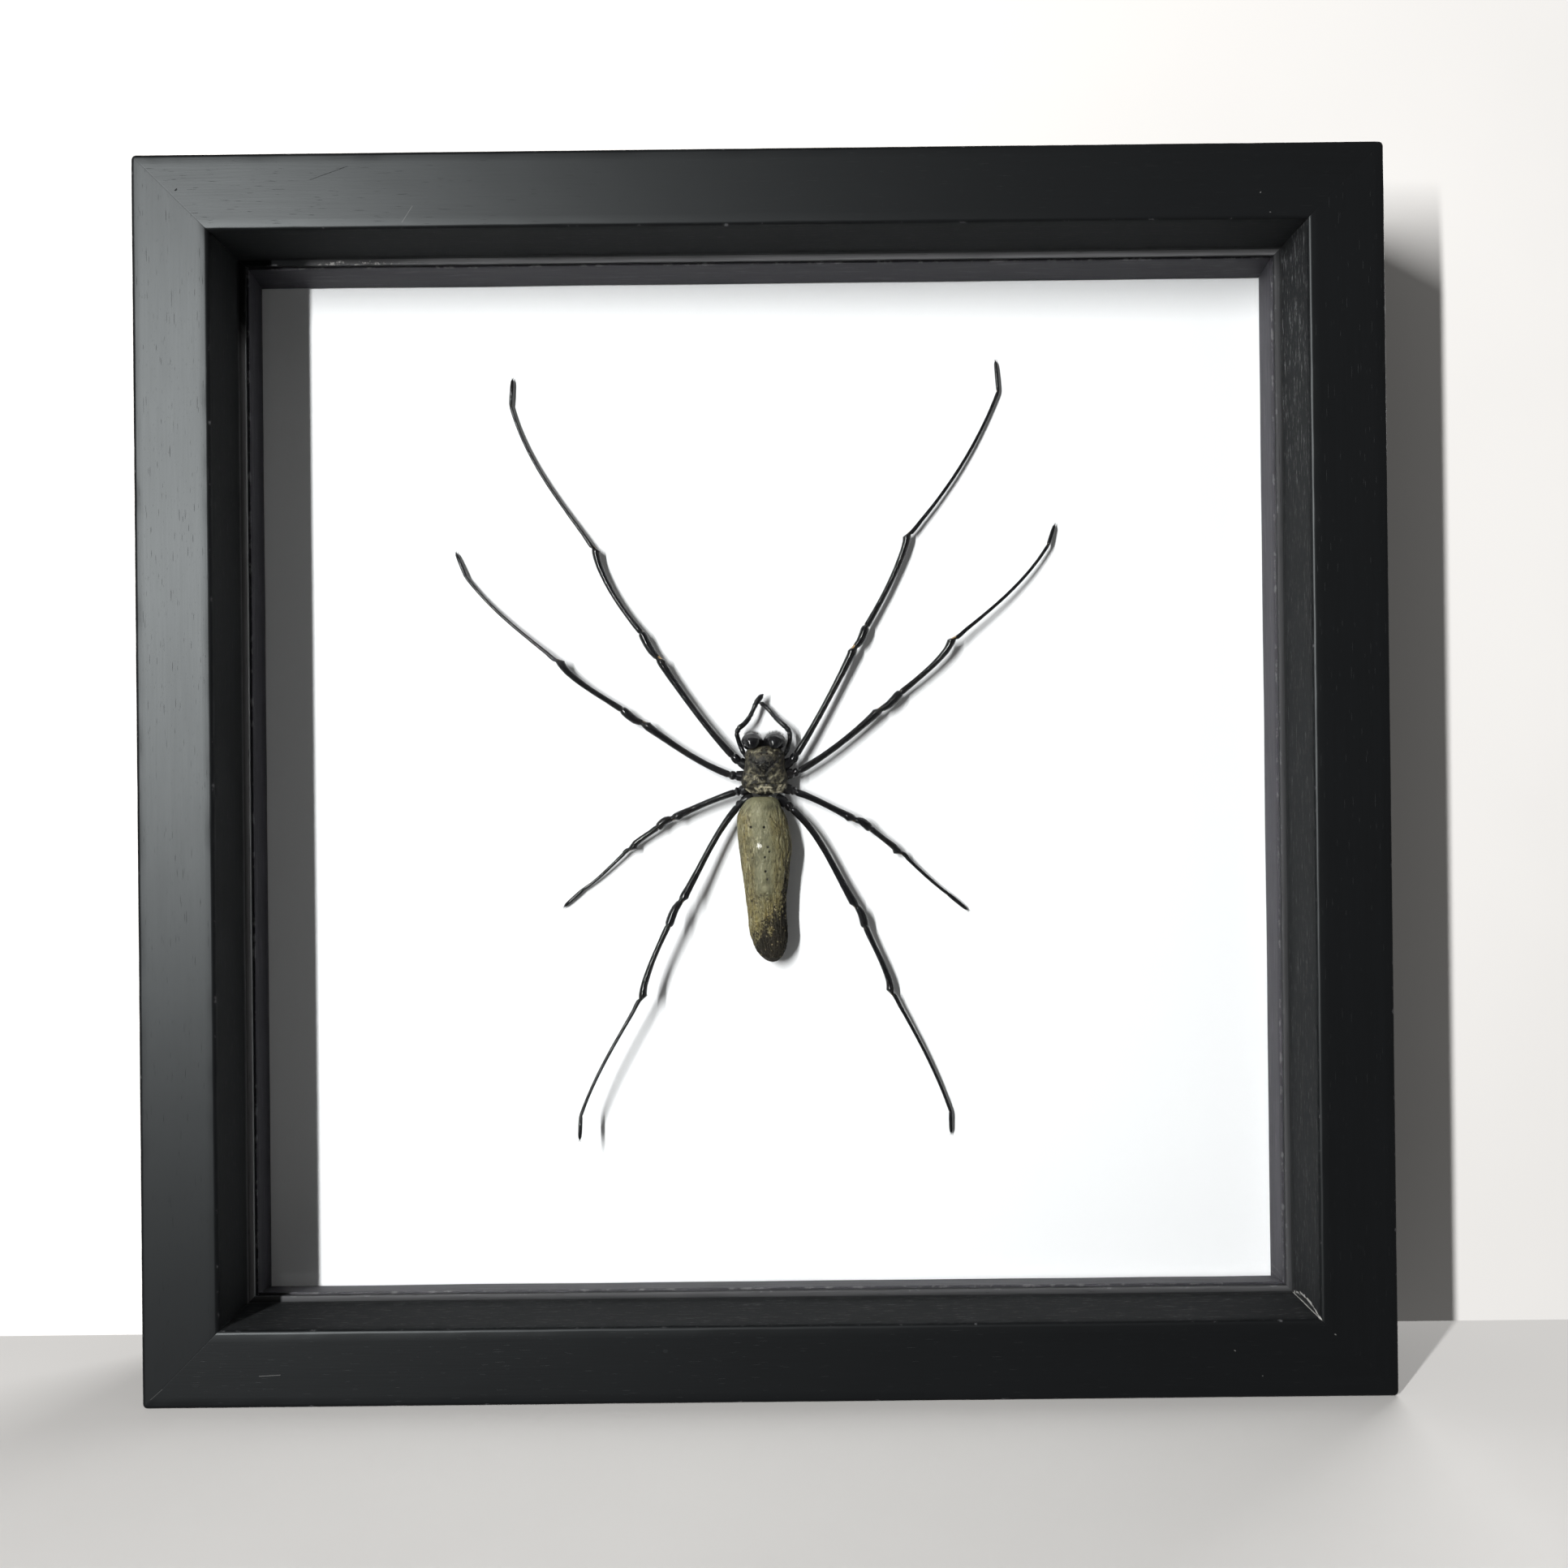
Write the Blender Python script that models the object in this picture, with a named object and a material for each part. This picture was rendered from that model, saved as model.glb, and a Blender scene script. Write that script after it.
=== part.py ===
"""Framed orb-weaver spider: a deep box frame of black painted wood with glass, spacer strips and a
white backing card, and a dried giant orb weaver spread on the card.

Lengths are written in millimetres and turned into metres where they are used. +Z is up, +X is right
and the glass looks towards -Y. The origin is the middle of the underside of the frame.
"""

import math

import bmesh
import bpy
from mathutils import Matrix, Vector

MM = 0.001

# Box frame
FRAME_SIDE = 250.0
FRAME_DEPTH = 45.0
FACE_WIDTH = 15.5
LIP_DEPTH = 19.0
LIP_WIDTH = 1.2
LIP_THICKNESS = 1.0
REAR_WALL = 12.0
OUTER_EASE = 0.8
INNER_EASE = 0.6
EASE_STEPS = 3
GAP = 0.3

# Sheets inside the frame, counted in depth from the front of the frame
GLASS_THICKNESS = 1.5
CARD_FRONT = 31.8
CARD_THICKNESS = 1.5
BOARD_THICKNESS = 2.5

# Fittings at the back
TAB_LENGTH = 13.0
TAB_INSIDE_RAIL = 3.0
TAB_WIDTH = 8.0
TAB_THICKNESS = 0.6
TAB_FROM_MIDDLE = 70.0
HANGER_LENGTH = 46.0
HANGER_HEIGHT = 8.0
HANGER_THICKNESS = 0.9
HANGER_TEETH = 9
TOOTH_HEIGHT = 1.4
SCREW_FROM_MIDDLE = 18.5
SCREW_HEAD_RADIUS = 1.7
SCREW_HEAD_HEIGHT = 0.45

HALF_SIDE = FRAME_SIDE / 2
FRONT_Y = -FRAME_DEPTH / 2
REBATE_HALF = HALF_SIDE - REAR_WALL
SHEET_HALF = REBATE_HALF - GAP
SIGHT_HALF = HALF_SIDE - FACE_WIDTH - LIP_WIDTH
GLASS_FRONT = LIP_DEPTH + LIP_THICKNESS + GAP
SPACER_FRONT = GLASS_FRONT + GLASS_THICKNESS + GAP
SPACER_BACK = CARD_FRONT - GAP
SPACER_SAG = 0.15
BOARD_FRONT = CARD_FRONT + CARD_THICKNESS + GAP
TAB_FRONT = BOARD_FRONT + BOARD_THICKNESS + GAP

# Spider: bodies as cross-sections from front to back. Each row has the height on the card from the
# frame's middle, the sideways middle, the half width, the rise above and the drop below the mid
# plane, and how far that plane stands off the card.
CEPHALOTHORAX = (
    (6.25, -0.15, 0.0, 0.0, 0.0, 5.2),
    (6.1, -0.15, 1.9, 1.5, 1.5, 5.2),
    (5.6, -0.15, 3.3, 2.5, 2.3, 5.1),
    (4.5, -0.1, 4.0, 3.3, 2.7, 5.0),
    (2.8, -0.05, 4.1, 3.6, 2.9, 4.9),
    (1.4, -0.1, 4.3, 3.2, 3.0, 4.9),
    (0.2, -0.1, 4.8, 2.7, 3.0, 4.8),
    (-1.2, -0.1, 5.1, 2.9, 3.0, 4.7),
    (-2.6, -0.05, 4.6, 2.6, 2.8, 4.6),
    (-3.6, 0.0, 3.4, 1.8, 2.2, 4.4),
    (-4.1, 0.0, 1.6, 0.5, 1.5, 4.0),
    (-4.4, 0.0, 0.9, 0.3, 0.9, 3.8),
    (-4.9, 0.0, 0.8, 0.3, 0.8, 3.8),
    (-5.0, 0.0, 0.0, 0.0, 0.0, 3.6),
)
ABDOMEN = (
    (-4.5, -0.6, 0.0, 0.0, 0.0, 6.3),
    (-4.7, -0.6, 1.9, 1.5, 1.2, 6.2),
    (-5.4, -0.7, 3.2, 2.4, 2.6, 5.9),
    (-6.5, -0.85, 4.3, 3.3, 3.8, 5.5),
    (-8.5, -0.85, 5.1, 4.1, 4.5, 5.1),
    (-11.5, -0.5, 5.5, 4.5, 4.6, 4.95),
    (-15.0, -0.1, 5.7, 4.6, 4.6, 4.9),
    (-19.0, -0.1, 5.3, 4.5, 4.6, 4.9),
    (-24.0, -0.1, 4.6, 4.1, 4.3, 4.9),
    (-28.0, 0.0, 4.25, 3.8, 4.0, 4.9),
    (-32.0, 0.25, 4.2, 3.6, 3.9, 4.9),
    (-35.0, 0.55, 3.9, 3.3, 3.6, 4.8),
    (-37.3, 0.8, 3.2, 2.6, 2.9, 4.6),
    (-39.0, 1.0, 2.1, 1.7, 1.9, 4.4),
    (-39.8, 1.15, 1.1, 0.9, 1.0, 4.2),
    (-40.1, 1.2, 0.0, 0.0, 0.0, 4.2),
)
BODY_SIDES = 18

# Jaws and feelers: points of the middle line (sideways, up, off the card) with the radius there. The
# jaw is given for the right side, counted from the middle of the head.
HEAD_MIDDLE = -0.3
CHELICERA = (
    (2.6, 7.3, 7.3, 0.7),
    (2.7, 7.65, 6.8, 1.35),
    (2.65, 7.95, 5.7, 1.7),
    (2.5, 8.05, 4.4, 1.65),
    (2.3, 7.95, 3.3, 1.25),
    (2.0, 7.8, 2.4, 0.7),
    (1.5, 7.7, 1.7, 0.35),
    (0.9, 7.6, 1.25, 0.12),
)
PALP_LEFT = (
    (-5.1, 4.6, 3.8, 0.45),
    (-5.6, 6.6, 3.9, 0.5),
    (-6.2, 9.2, 4.1, 0.48),
    (-5.6, 10.3, 4.1, 0.52),
    (-3.8, 12.8, 3.8, 0.42),
    (-2.6, 14.8, 3.6, 0.5),
    (-1.9, 16.1, 3.4, 0.55),
    (-1.0, 17.2, 3.2, 0.4),
    (-0.4, 17.75, 3.1, 0.15),
)
PALP_RIGHT = (
    (5.1, 4.9, 3.8, 0.45),
    (5.3, 7.4, 3.9, 0.5),
    (5.2, 10.1, 3.9, 0.48),
    (4.6, 10.9, 3.8, 0.52),
    (2.9, 12.3, 3.3, 0.42),
    (1.6, 13.6, 2.8, 0.42),
    (0.5, 14.8, 2.3, 0.45),
    (-0.9, 15.9, 1.7, 0.15),
)

# Legs: where each joint lies (sideways, up, off the card), in this order: root of the coxa, root of
# the trochanter, root, and end of the femur, end of the patella, of the tibia, of the metatarsus,
# and the claw. The bows say how far the femur, tibia and metatarsus curve out to the left of the
# line from their root to their end.
LEGS = {
    "leg_1_left": {
        "joints": ((-5.4, 3.0, 4.2), (-7.1, 4.2, 4.2), (-8.6, 5.3, 4.2), (-22.8, 25.7, 3.2),
                   (-26.8, 31.0, 2.9), (-36.7, 49.8, 2.3), (-54.1, 81.0, 1.0), (-53.9, 86.6, 0.8)),
        "bows": (0.5, 0.7, 2.2),
    },
    "leg_2_left": {
        "joints": ((-5.7, 0.0, 4.0), (-7.9, 0.2, 4.0), (-9.6, 0.8, 4.0), (-26.4, 11.6, 3.0),
                   (-31.0, 14.4, 2.9), (-44.8, 25.3, 3.4), (-64.2, 43.8, 1.5), (-66.5, 49.0, 0.8)),
        "bows": (0.7, 0.3, 1.5),
    },
    "leg_3_left": {
        "joints": ((-5.5, -3.0, 4.0), (-7.0, -3.5, 4.0), (-8.4, -4.0, 4.0), (-20.1, -9.1, 3.2),
                   (-23.6, -10.8, 3.0), (-29.7, -15.6, 2.2), (-39.7, -24.3, 1.1), (-44.1, -27.7, 0.8)),
        "bows": (0.1, 0.3, 0.3),
    },
    "leg_4_left": {
        "joints": ((-4.6, -4.7, 4.0), (-6.0, -6.2, 4.4), (-7.0, -7.7, 4.7), (-18.5, -26.6, 7.3),
                   (-21.2, -31.8, 7.8), (-27.2, -47.5, 7.5), (-39.9, -71.9, 8.4), (-40.2, -76.8, 9.0)),
        "bows": (-0.3, -0.1, -0.7),
    },
    "leg_1_right": {
        "joints": ((5.0, 3.1, 4.2), (6.0, 4.5, 4.2), (7.0, 5.8, 4.2), (19.7, 27.5, 3.1),
                   (22.0, 32.1, 2.7), (31.5, 52.2, 2.2), (51.6, 82.8, 1.0), (51.0, 89.4, 0.8)),
        "bows": (-0.7, -0.4, -2.4),
    },
    "leg_2_right": {
        "joints": ((5.6, 0.2, 4.0), (6.9, 0.9, 4.0), (8.2, 1.7, 4.0), (25.1, 14.1, 3.2),
                   (29.6, 17.5, 3.1), (41.2, 29.2, 4.0), (61.6, 49.3, 2.2), (63.3, 53.7, 1.0)),
        "bows": (-0.8, -0.8, -1.7),
    },
    "leg_3_right": {
        "joints": ((5.3, -2.8, 4.0), (6.7, -3.4, 4.0), (8.1, -4.0, 4.1), (19.2, -9.8, 3.6),
                   (22.8, -11.6, 3.4), (29.4, -16.9, 2.3), (39.3, -25.9, 1.2), (43.5, -29.4, 0.8)),
        "bows": (-0.1, -0.1, -0.4),
    },
    "leg_4_right": {
        "joints": ((4.1, -4.9, 4.0), (5.6, -6.2, 4.2), (6.9, -7.6, 4.2), (19.1, -28.6, 3.6),
                   (21.4, -32.8, 3.4), (26.8, -47.6, 2.6), (39.2, -73.1, 1.1), (39.3, -77.8, 0.8)),
        "bows": (0.8, 0.4, 1.0),
    },
}

# Radii along each leg segment as (share of its length, radius)
COXA = ((0.0, 0.9), (0.5, 1.1), (0.9, 0.85))
TROCHANTER = ((0.15, 0.75), (0.6, 0.85), (0.95, 0.7))
FEMUR = ((0.04, 0.7), (0.18, 0.84), (0.5, 0.82), (0.8, 0.76), (0.93, 0.84), (0.99, 0.6))
PATELLA = ((0.12, 0.7), (0.35, 0.9), (0.65, 0.92), (0.95, 0.62))
TIBIA = ((0.05, 0.62), (0.2, 0.72), (0.55, 0.68), (0.82, 0.74), (0.95, 0.88), (0.99, 0.58))
METATARSUS = ((0.03, 0.42), (0.1, 0.5), (0.4, 0.41), (0.7, 0.37), (0.98, 0.38))
TARSUS = ((0.06, 0.4), (0.35, 0.48), (0.8, 0.46), (1.0, 0.24))
SEGMENTS = (COXA, TROCHANTER, FEMUR, PATELLA, TIBIA, METATARSUS, TARSUS)
BOWED = {2: 0, 4: 1, 5: 2}

BLACK_PAINT = ("black_paint", (0.012, 0.012, 0.013), 0.42, 0.0)
CLEAR_GLASS = ("clear_glass", (0.95, 0.97, 0.96), 0.02, 0.0)
DARK_STRIP = ("dark_strip", (0.035, 0.034, 0.038), 0.7, 0.0)
WHITE_CARD = ("white_card", (0.86, 0.86, 0.87), 0.9, 0.0)
BROWN_BOARD = ("brown_board", (0.3, 0.19, 0.11), 0.85, 0.0)
STEEL = ("steel", (0.55, 0.55, 0.56), 0.35, 1.0)
CARAPACE = ("carapace", (0.1, 0.09, 0.065), 0.6, 0.0)
ABDOMEN_SKIN = ("abdomen_skin", (0.27, 0.25, 0.15), 0.65, 0.0)
BLACK_CHITIN = ("black_chitin", (0.012, 0.012, 0.014), 0.25, 0.0)


def clear_scene():
    for old in list(bpy.data.objects):
        bpy.data.objects.remove(old, do_unlink=True)


def new_collection(name):
    made = bpy.data.collections.new(name)
    bpy.context.scene.collection.children.link(made)
    return made


def material(finish):
    name, colour, roughness, metallic = finish
    made = bpy.data.materials.get(name)
    if made is None:
        made = bpy.data.materials.new(name)
        made.use_nodes = True
        shader = made.node_tree.nodes["Principled BSDF"]
        shader.inputs["Base Color"].default_value = (*colour, 1.0)
        shader.inputs["Roughness"].default_value = roughness
        shader.inputs["Metallic"].default_value = metallic
        made.diffuse_color = (*colour, 1.0)
    return made


def add_object(name, data, finish, collection):
    made = bpy.data.objects.new(name, data)
    if finish is not None:
        data.materials.append(material(finish))
    collection.objects.link(made)
    return made


def mesh_object(name, shape, finish, collection):
    """Turn a bmesh into an object with outward faces."""
    bmesh.ops.recalc_face_normals(shape, faces=shape.faces)
    if shape.calc_volume(signed=True) < 0:
        bmesh.ops.reverse_faces(shape, faces=shape.faces)
    mesh = bpy.data.meshes.new(name)
    shape.to_mesh(mesh)
    shape.free()
    return add_object(name, mesh, finish, collection)


def box(name, low, high, finish, collection):
    """A block between two corners in millimetres."""
    low = Vector(low) * MM
    high = Vector(high) * MM
    shape = bmesh.new()
    bmesh.ops.create_cube(shape, size=1.0)
    bmesh.ops.scale(shape, vec=high - low, verts=shape.verts)
    bmesh.ops.translate(shape, vec=(low + high) / 2, verts=shape.verts)
    return mesh_object(name, shape, finish, collection)


def depth_y(depth):
    """The Y of a depth counted from the front of the frame, in millimetres."""
    return FRONT_Y + depth


def off_card(across, up, lift):
    """A point of the spider in metres: sideways and up from the frame's middle, and off the card."""
    return Vector((across, depth_y(CARD_FRONT - lift), HALF_SIDE + up)) * MM


def eased_corner(centre, radius, first_angle):
    """Points of a quarter circle, in the plane of a rail's section."""
    points = []
    for step in range(EASE_STEPS + 1):
        angle = math.radians(first_angle + 90.0 * step / EASE_STEPS)
        points.append((centre[0] + radius * math.cos(angle), centre[1] + radius * math.sin(angle)))
    return points


def rail_section():
    """The section of a rail, as (inwards from the outer edge, depth from the front)."""
    lip_edge = FACE_WIDTH + LIP_WIDTH
    lip_back = LIP_DEPTH + LIP_THICKNESS
    back_middle = FRAME_DEPTH - OUTER_EASE
    points = eased_corner((OUTER_EASE, OUTER_EASE), OUTER_EASE, 180)
    points += eased_corner((FACE_WIDTH - INNER_EASE, INNER_EASE), INNER_EASE, 270)
    points += [(FACE_WIDTH, LIP_DEPTH), (lip_edge, LIP_DEPTH), (lip_edge, lip_back)]
    points += [(REAR_WALL, lip_back), (REAR_WALL, FRAME_DEPTH)]
    points += eased_corner((OUTER_EASE, back_middle), OUTER_EASE, 90)
    return points


def mitred_rail(name, turn, collection):
    """A rail along the bottom of the frame, mitred at both ends and turned about the middle."""
    shape = bmesh.new()
    section = [Vector((-HALF_SIDE, depth_y(depth), inward)) * MM for inward, depth in rail_section()]
    face = shape.faces.new([shape.verts.new(point) for point in section])
    grown = bmesh.ops.extrude_face_region(shape, geom=[face])
    far_end = [item for item in grown["geom"] if isinstance(item, bmesh.types.BMVert)]
    bmesh.ops.translate(shape, vec=(FRAME_SIDE * MM, 0, 0), verts=far_end)
    for side in (-1, 1):
        everything = shape.verts[:] + shape.edges[:] + shape.faces[:]
        cut_at = Vector((side * (HALF_SIDE - GAP * math.sqrt(0.5)), 0, 0)) * MM
        bmesh.ops.bisect_plane(
            shape, geom=everything, dist=1e-7, plane_co=cut_at, plane_no=(side, 0, 1), clear_outer=True
        )
        open_edges = [edge for edge in shape.edges if edge.is_boundary]
        bmesh.ops.holes_fill(shape, edges=open_edges, sides=0)
    middle = Vector((0, 0, HALF_SIDE * MM))
    bmesh.ops.rotate(shape, cent=middle, matrix=Matrix.Rotation(turn, 3, "Y"), verts=shape.verts)
    return mesh_object(name, shape, BLACK_PAINT, collection)


def cut(target, cutter):
    """Take a cutter's shape out of a piece."""
    cutter.hide_render = True
    cutter.display_type = "WIRE"
    step = target.modifiers.new("cut_" + cutter.name, "BOOLEAN")
    step.operation = "DIFFERENCE"
    step.solver = "EXACT"
    step.object = cutter


def turned_about_middle(piece, turn):
    """Turn a mesh about the frame's middle, in the plane of the glass."""
    middle = Matrix.Translation((0, 0, HALF_SIDE * MM))
    piece.data.transform(middle @ Matrix.Rotation(turn, 4, "Y") @ middle.inverted())


def build_frame(parts, cutters):
    """The four rails, with a slot for each tab and a pocket for the hanger."""
    sides = ("bottom", "left", "top", "right")
    tab_number = 1
    for index, side in enumerate(sides):
        turn = math.radians(90 * index)
        rail = mitred_rail("rail_" + side, turn, parts)
        for middle in (-TAB_FROM_MIDDLE, TAB_FROM_MIDDLE):
            low, high = tab_corners(middle, GAP)
            slot = box(f"slot_{tab_number}", low, high, None, cutters)
            turned_about_middle(slot, turn)
            cut(rail, slot)
            low, high = tab_corners(middle, 0.0)
            tab = box(f"tab_{tab_number}", low, high, STEEL, parts)
            turned_about_middle(tab, turn)
            tab_number += 1
        if side == "top":
            cut(rail, hanger_pocket(cutters))


def tab_corners(middle, room):
    """Corners of a tab in the bottom rail, or of its slot with some room around it."""
    root = REAR_WALL - TAB_INSIDE_RAIL
    low = (middle - TAB_WIDTH / 2 - room, depth_y(TAB_FRONT) - room, root - room)
    high = (middle + TAB_WIDTH / 2 + room, depth_y(TAB_FRONT + TAB_THICKNESS) + room, root + TAB_LENGTH)
    return low, high


def hanger_top():
    """Height of the hanger's upper edge, which leaves it in the middle of the rail's back."""
    return FRAME_SIDE - (REAR_WALL - HANGER_HEIGHT) / 2


def hanger_pocket(cutters):
    """The shallow pocket in the back of the top rail that the hanger lies in."""
    deep = HANGER_THICKNESS + SCREW_HEAD_HEIGHT + 2 * GAP
    half = HANGER_LENGTH / 2 + GAP
    low = (-half, depth_y(FRAME_DEPTH - deep), hanger_top() - HANGER_HEIGHT - GAP)
    high = (half, depth_y(FRAME_DEPTH + 1.0), hanger_top() + GAP)
    return box("pocket", low, high, None, cutters)


def hanger_outline():
    """The plate's outline from its upper left corner, with the teeth along its lower edge."""
    half = HANGER_LENGTH / 2
    toothed = SCREW_FROM_MIDDLE - 2 * SCREW_HEAD_RADIUS
    low = hanger_top() - HANGER_HEIGHT
    points = [(-half, hanger_top()), (half, hanger_top()), (half, low), (toothed, low)]
    pitch = 2 * toothed / HANGER_TEETH
    for tooth in range(HANGER_TEETH):
        right = toothed - tooth * pitch
        points.append((right - pitch / 2, low + TOOTH_HEIGHT))
        points.append((right - pitch, low))
    points.append((-half, low))
    return points


def build_hanger(parts):
    """The sawtooth plate and its two screws."""
    back = FRAME_DEPTH - GAP - SCREW_HEAD_HEIGHT - GAP
    front = back - HANGER_THICKNESS
    outline = bpy.data.curves.new("hanger_outline", "CURVE")
    outline.dimensions = "2D"
    outline.fill_mode = "BOTH"
    outline.extrude = HANGER_THICKNESS / 2 * MM
    spline = outline.splines.new("POLY")
    corners = hanger_outline()
    spline.points.add(len(corners) - 1)
    for point, (across, up) in zip(spline.points, corners):
        point.co = (across * MM, up * MM, 0.0, 1.0)
    spline.use_cyclic_u = True
    plate = add_object("hanger", outline, STEEL, parts)
    plate.rotation_euler = (math.radians(90), 0, 0)
    plate.location = (0, depth_y((front + back) / 2) * MM, 0)
    for name, across in (("hanger_screw_left", -SCREW_FROM_MIDDLE), ("hanger_screw_right", SCREW_FROM_MIDDLE)):
        shape = bmesh.new()
        bmesh.ops.create_cone(
            shape, cap_ends=True, segments=16, radius1=SCREW_HEAD_RADIUS * MM,
            radius2=SCREW_HEAD_RADIUS * 0.75 * MM, depth=SCREW_HEAD_HEIGHT * MM,
        )
        head = mesh_object(name, shape, STEEL, parts)
        head.rotation_euler = (math.radians(-90), 0, 0)
        middle_depth = back + GAP + SCREW_HEAD_HEIGHT / 2
        height = hanger_top() - HANGER_HEIGHT / 2
        head.location = Vector((across, depth_y(middle_depth), height)) * MM


def build_sheets(parts):
    """Glass, card and back board, which fill the rebate, and the strips between glass and card."""
    sheets = (
        ("glass_pane", GLASS_FRONT, GLASS_THICKNESS, CLEAR_GLASS),
        ("backing_card", CARD_FRONT, CARD_THICKNESS, WHITE_CARD),
        ("back_board", BOARD_FRONT, BOARD_THICKNESS, BROWN_BOARD),
    )
    for name, front, thickness, finish in sheets:
        low = (-SHEET_HALF, depth_y(front), HALF_SIDE - SHEET_HALF)
        high = (SHEET_HALF, depth_y(front + thickness), HALF_SIDE + SHEET_HALF)
        box(name, low, high, finish, parts)
    front = depth_y(SPACER_FRONT)
    back = depth_y(SPACER_BACK)
    for side in (-1, 1):
        name = "spacer_left" if side < 0 else "spacer_right"
        edges = sorted((side * SHEET_HALF, side * SIGHT_HALF))
        low = (edges[0], front, HALF_SIDE - SHEET_HALF)
        high = (edges[1], back, HALF_SIDE + SHEET_HALF)
        box(name, low, high, DARK_STRIP, parts)
        name = "spacer_bottom" if side < 0 else "spacer_top"
        edges = sorted((side * SHEET_HALF, side * SIGHT_HALF))
        drop = SPACER_SAG
        reach = SIGHT_HALF - GAP
        low = (-reach, front, HALF_SIDE + edges[0] - drop)
        high = (reach, back, HALF_SIDE + edges[1] - drop)
        box(name, low, high, DARK_STRIP, parts)


def between(rows, place):
    """Read a row at a place along the rows' first column, by straight lines between rows."""
    for first, second in zip(rows, rows[1:]):
        if min(first[0], second[0]) <= place <= max(first[0], second[0]):
            share = (place - first[0]) / (second[0] - first[0])
            return [a + (b - a) * share for a, b in zip(first, second)]
    return list(rows[-1])


def sectioned_body(name, rows, finish, parts):
    """A closed body with one ring of points for each row of sections and a pole at each end."""
    shape = bmesh.new()
    bmesh.ops.create_uvsphere(shape, u_segments=BODY_SIDES, v_segments=len(rows) - 1, radius=1.0)
    for vert in shape.verts:
        ring = round(math.acos(max(-1.0, min(1.0, vert.co.z))) / math.pi * (len(rows) - 1))
        up, middle, half_width, rise, drop, lift = rows[ring]
        around = math.atan2(vert.co.y, vert.co.x)
        height = rise if math.sin(around) > 0 else drop
        across = middle + half_width * math.cos(around)
        vert.co = off_card(across, up, lift + height * math.sin(around))
    piece = mesh_object(name, shape, finish, parts)
    piece.data.shade_smooth()
    return piece


def tapered_tube(name, stations, finish, parts):
    """A curve through (point in metres, radius in millimetres) stations, round and closed."""
    curve = bpy.data.curves.new(name, "CURVE")
    curve.dimensions = "3D"
    curve.bevel_depth = MM
    curve.bevel_resolution = 2
    curve.use_fill_caps = True
    spline = curve.splines.new("POLY")
    spline.points.add(len(stations) - 1)
    for point, (place, radius) in zip(spline.points, stations):
        point.co = (*place, 1.0)
        point.radius = radius
    return add_object(name, curve, finish, parts)


def bowed_point(start, end, bow, share):
    """A point on a segment that curves out to the left of its line, in the plane of the card."""
    along = end - start
    left = Vector((-along.z, 0, along.x)).normalized()
    return start + along * share + left * (bow * MM * 4 * share * (1 - share))


def leg_stations(joints, bows):
    """Points and radii from the coxa to the claw."""
    points = [off_card(*joint) for joint in joints]
    stations = []
    for index, radii in enumerate(SEGMENTS):
        bow = bows[BOWED[index]] if index in BOWED else 0.0
        for share, radius in radii:
            stations.append((bowed_point(points[index], points[index + 1], bow, share), radius))
    return stations


def build_spider(parts):
    """Bodies, jaws, feelers and legs."""
    sectioned_body("cephalothorax", CEPHALOTHORAX, CARAPACE, parts)
    sectioned_body("abdomen", ABDOMEN, ABDOMEN_SKIN, parts)
    for name, side in (("chelicera_left", -1), ("chelicera_right", 1)):
        stations = [
            (off_card(HEAD_MIDDLE + side * across, up, lift), radius) for across, up, lift, radius in CHELICERA
        ]
        tapered_tube(name, stations, BLACK_CHITIN, parts)
    for name, rows in (("palp_left", PALP_LEFT), ("palp_right", PALP_RIGHT)):
        stations = [(off_card(across, up, lift), radius) for across, up, lift, radius in rows]
        tapered_tube(name, stations, BLACK_CHITIN, parts)
    for name, leg in LEGS.items():
        tapered_tube(name, leg_stations(leg["joints"], leg["bows"]), BLACK_CHITIN, parts)


def main():
    clear_scene()
    parts = new_collection("framed_orb_weaver_spider")
    cutters = new_collection("cutters")
    build_frame(parts, cutters)
    build_hanger(parts)
    build_sheets(parts)
    build_spider(parts)


main()
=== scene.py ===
"""Looks of a framed orb-weaver spider: a deep box frame of black painted wood with glass, dark
spacer strips and a white card, and a dried giant orb weaver spread on the card.

Lengths are in millimetres unless a name says otherwise, and turn into metres where meshes are made.
A place on the spider is given as (sideways, up, off the card), counted from the middle of the frame.
"""

import math

import bmesh
import bpy
import numpy as np
from mathutils import Matrix, Vector, noise


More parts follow.
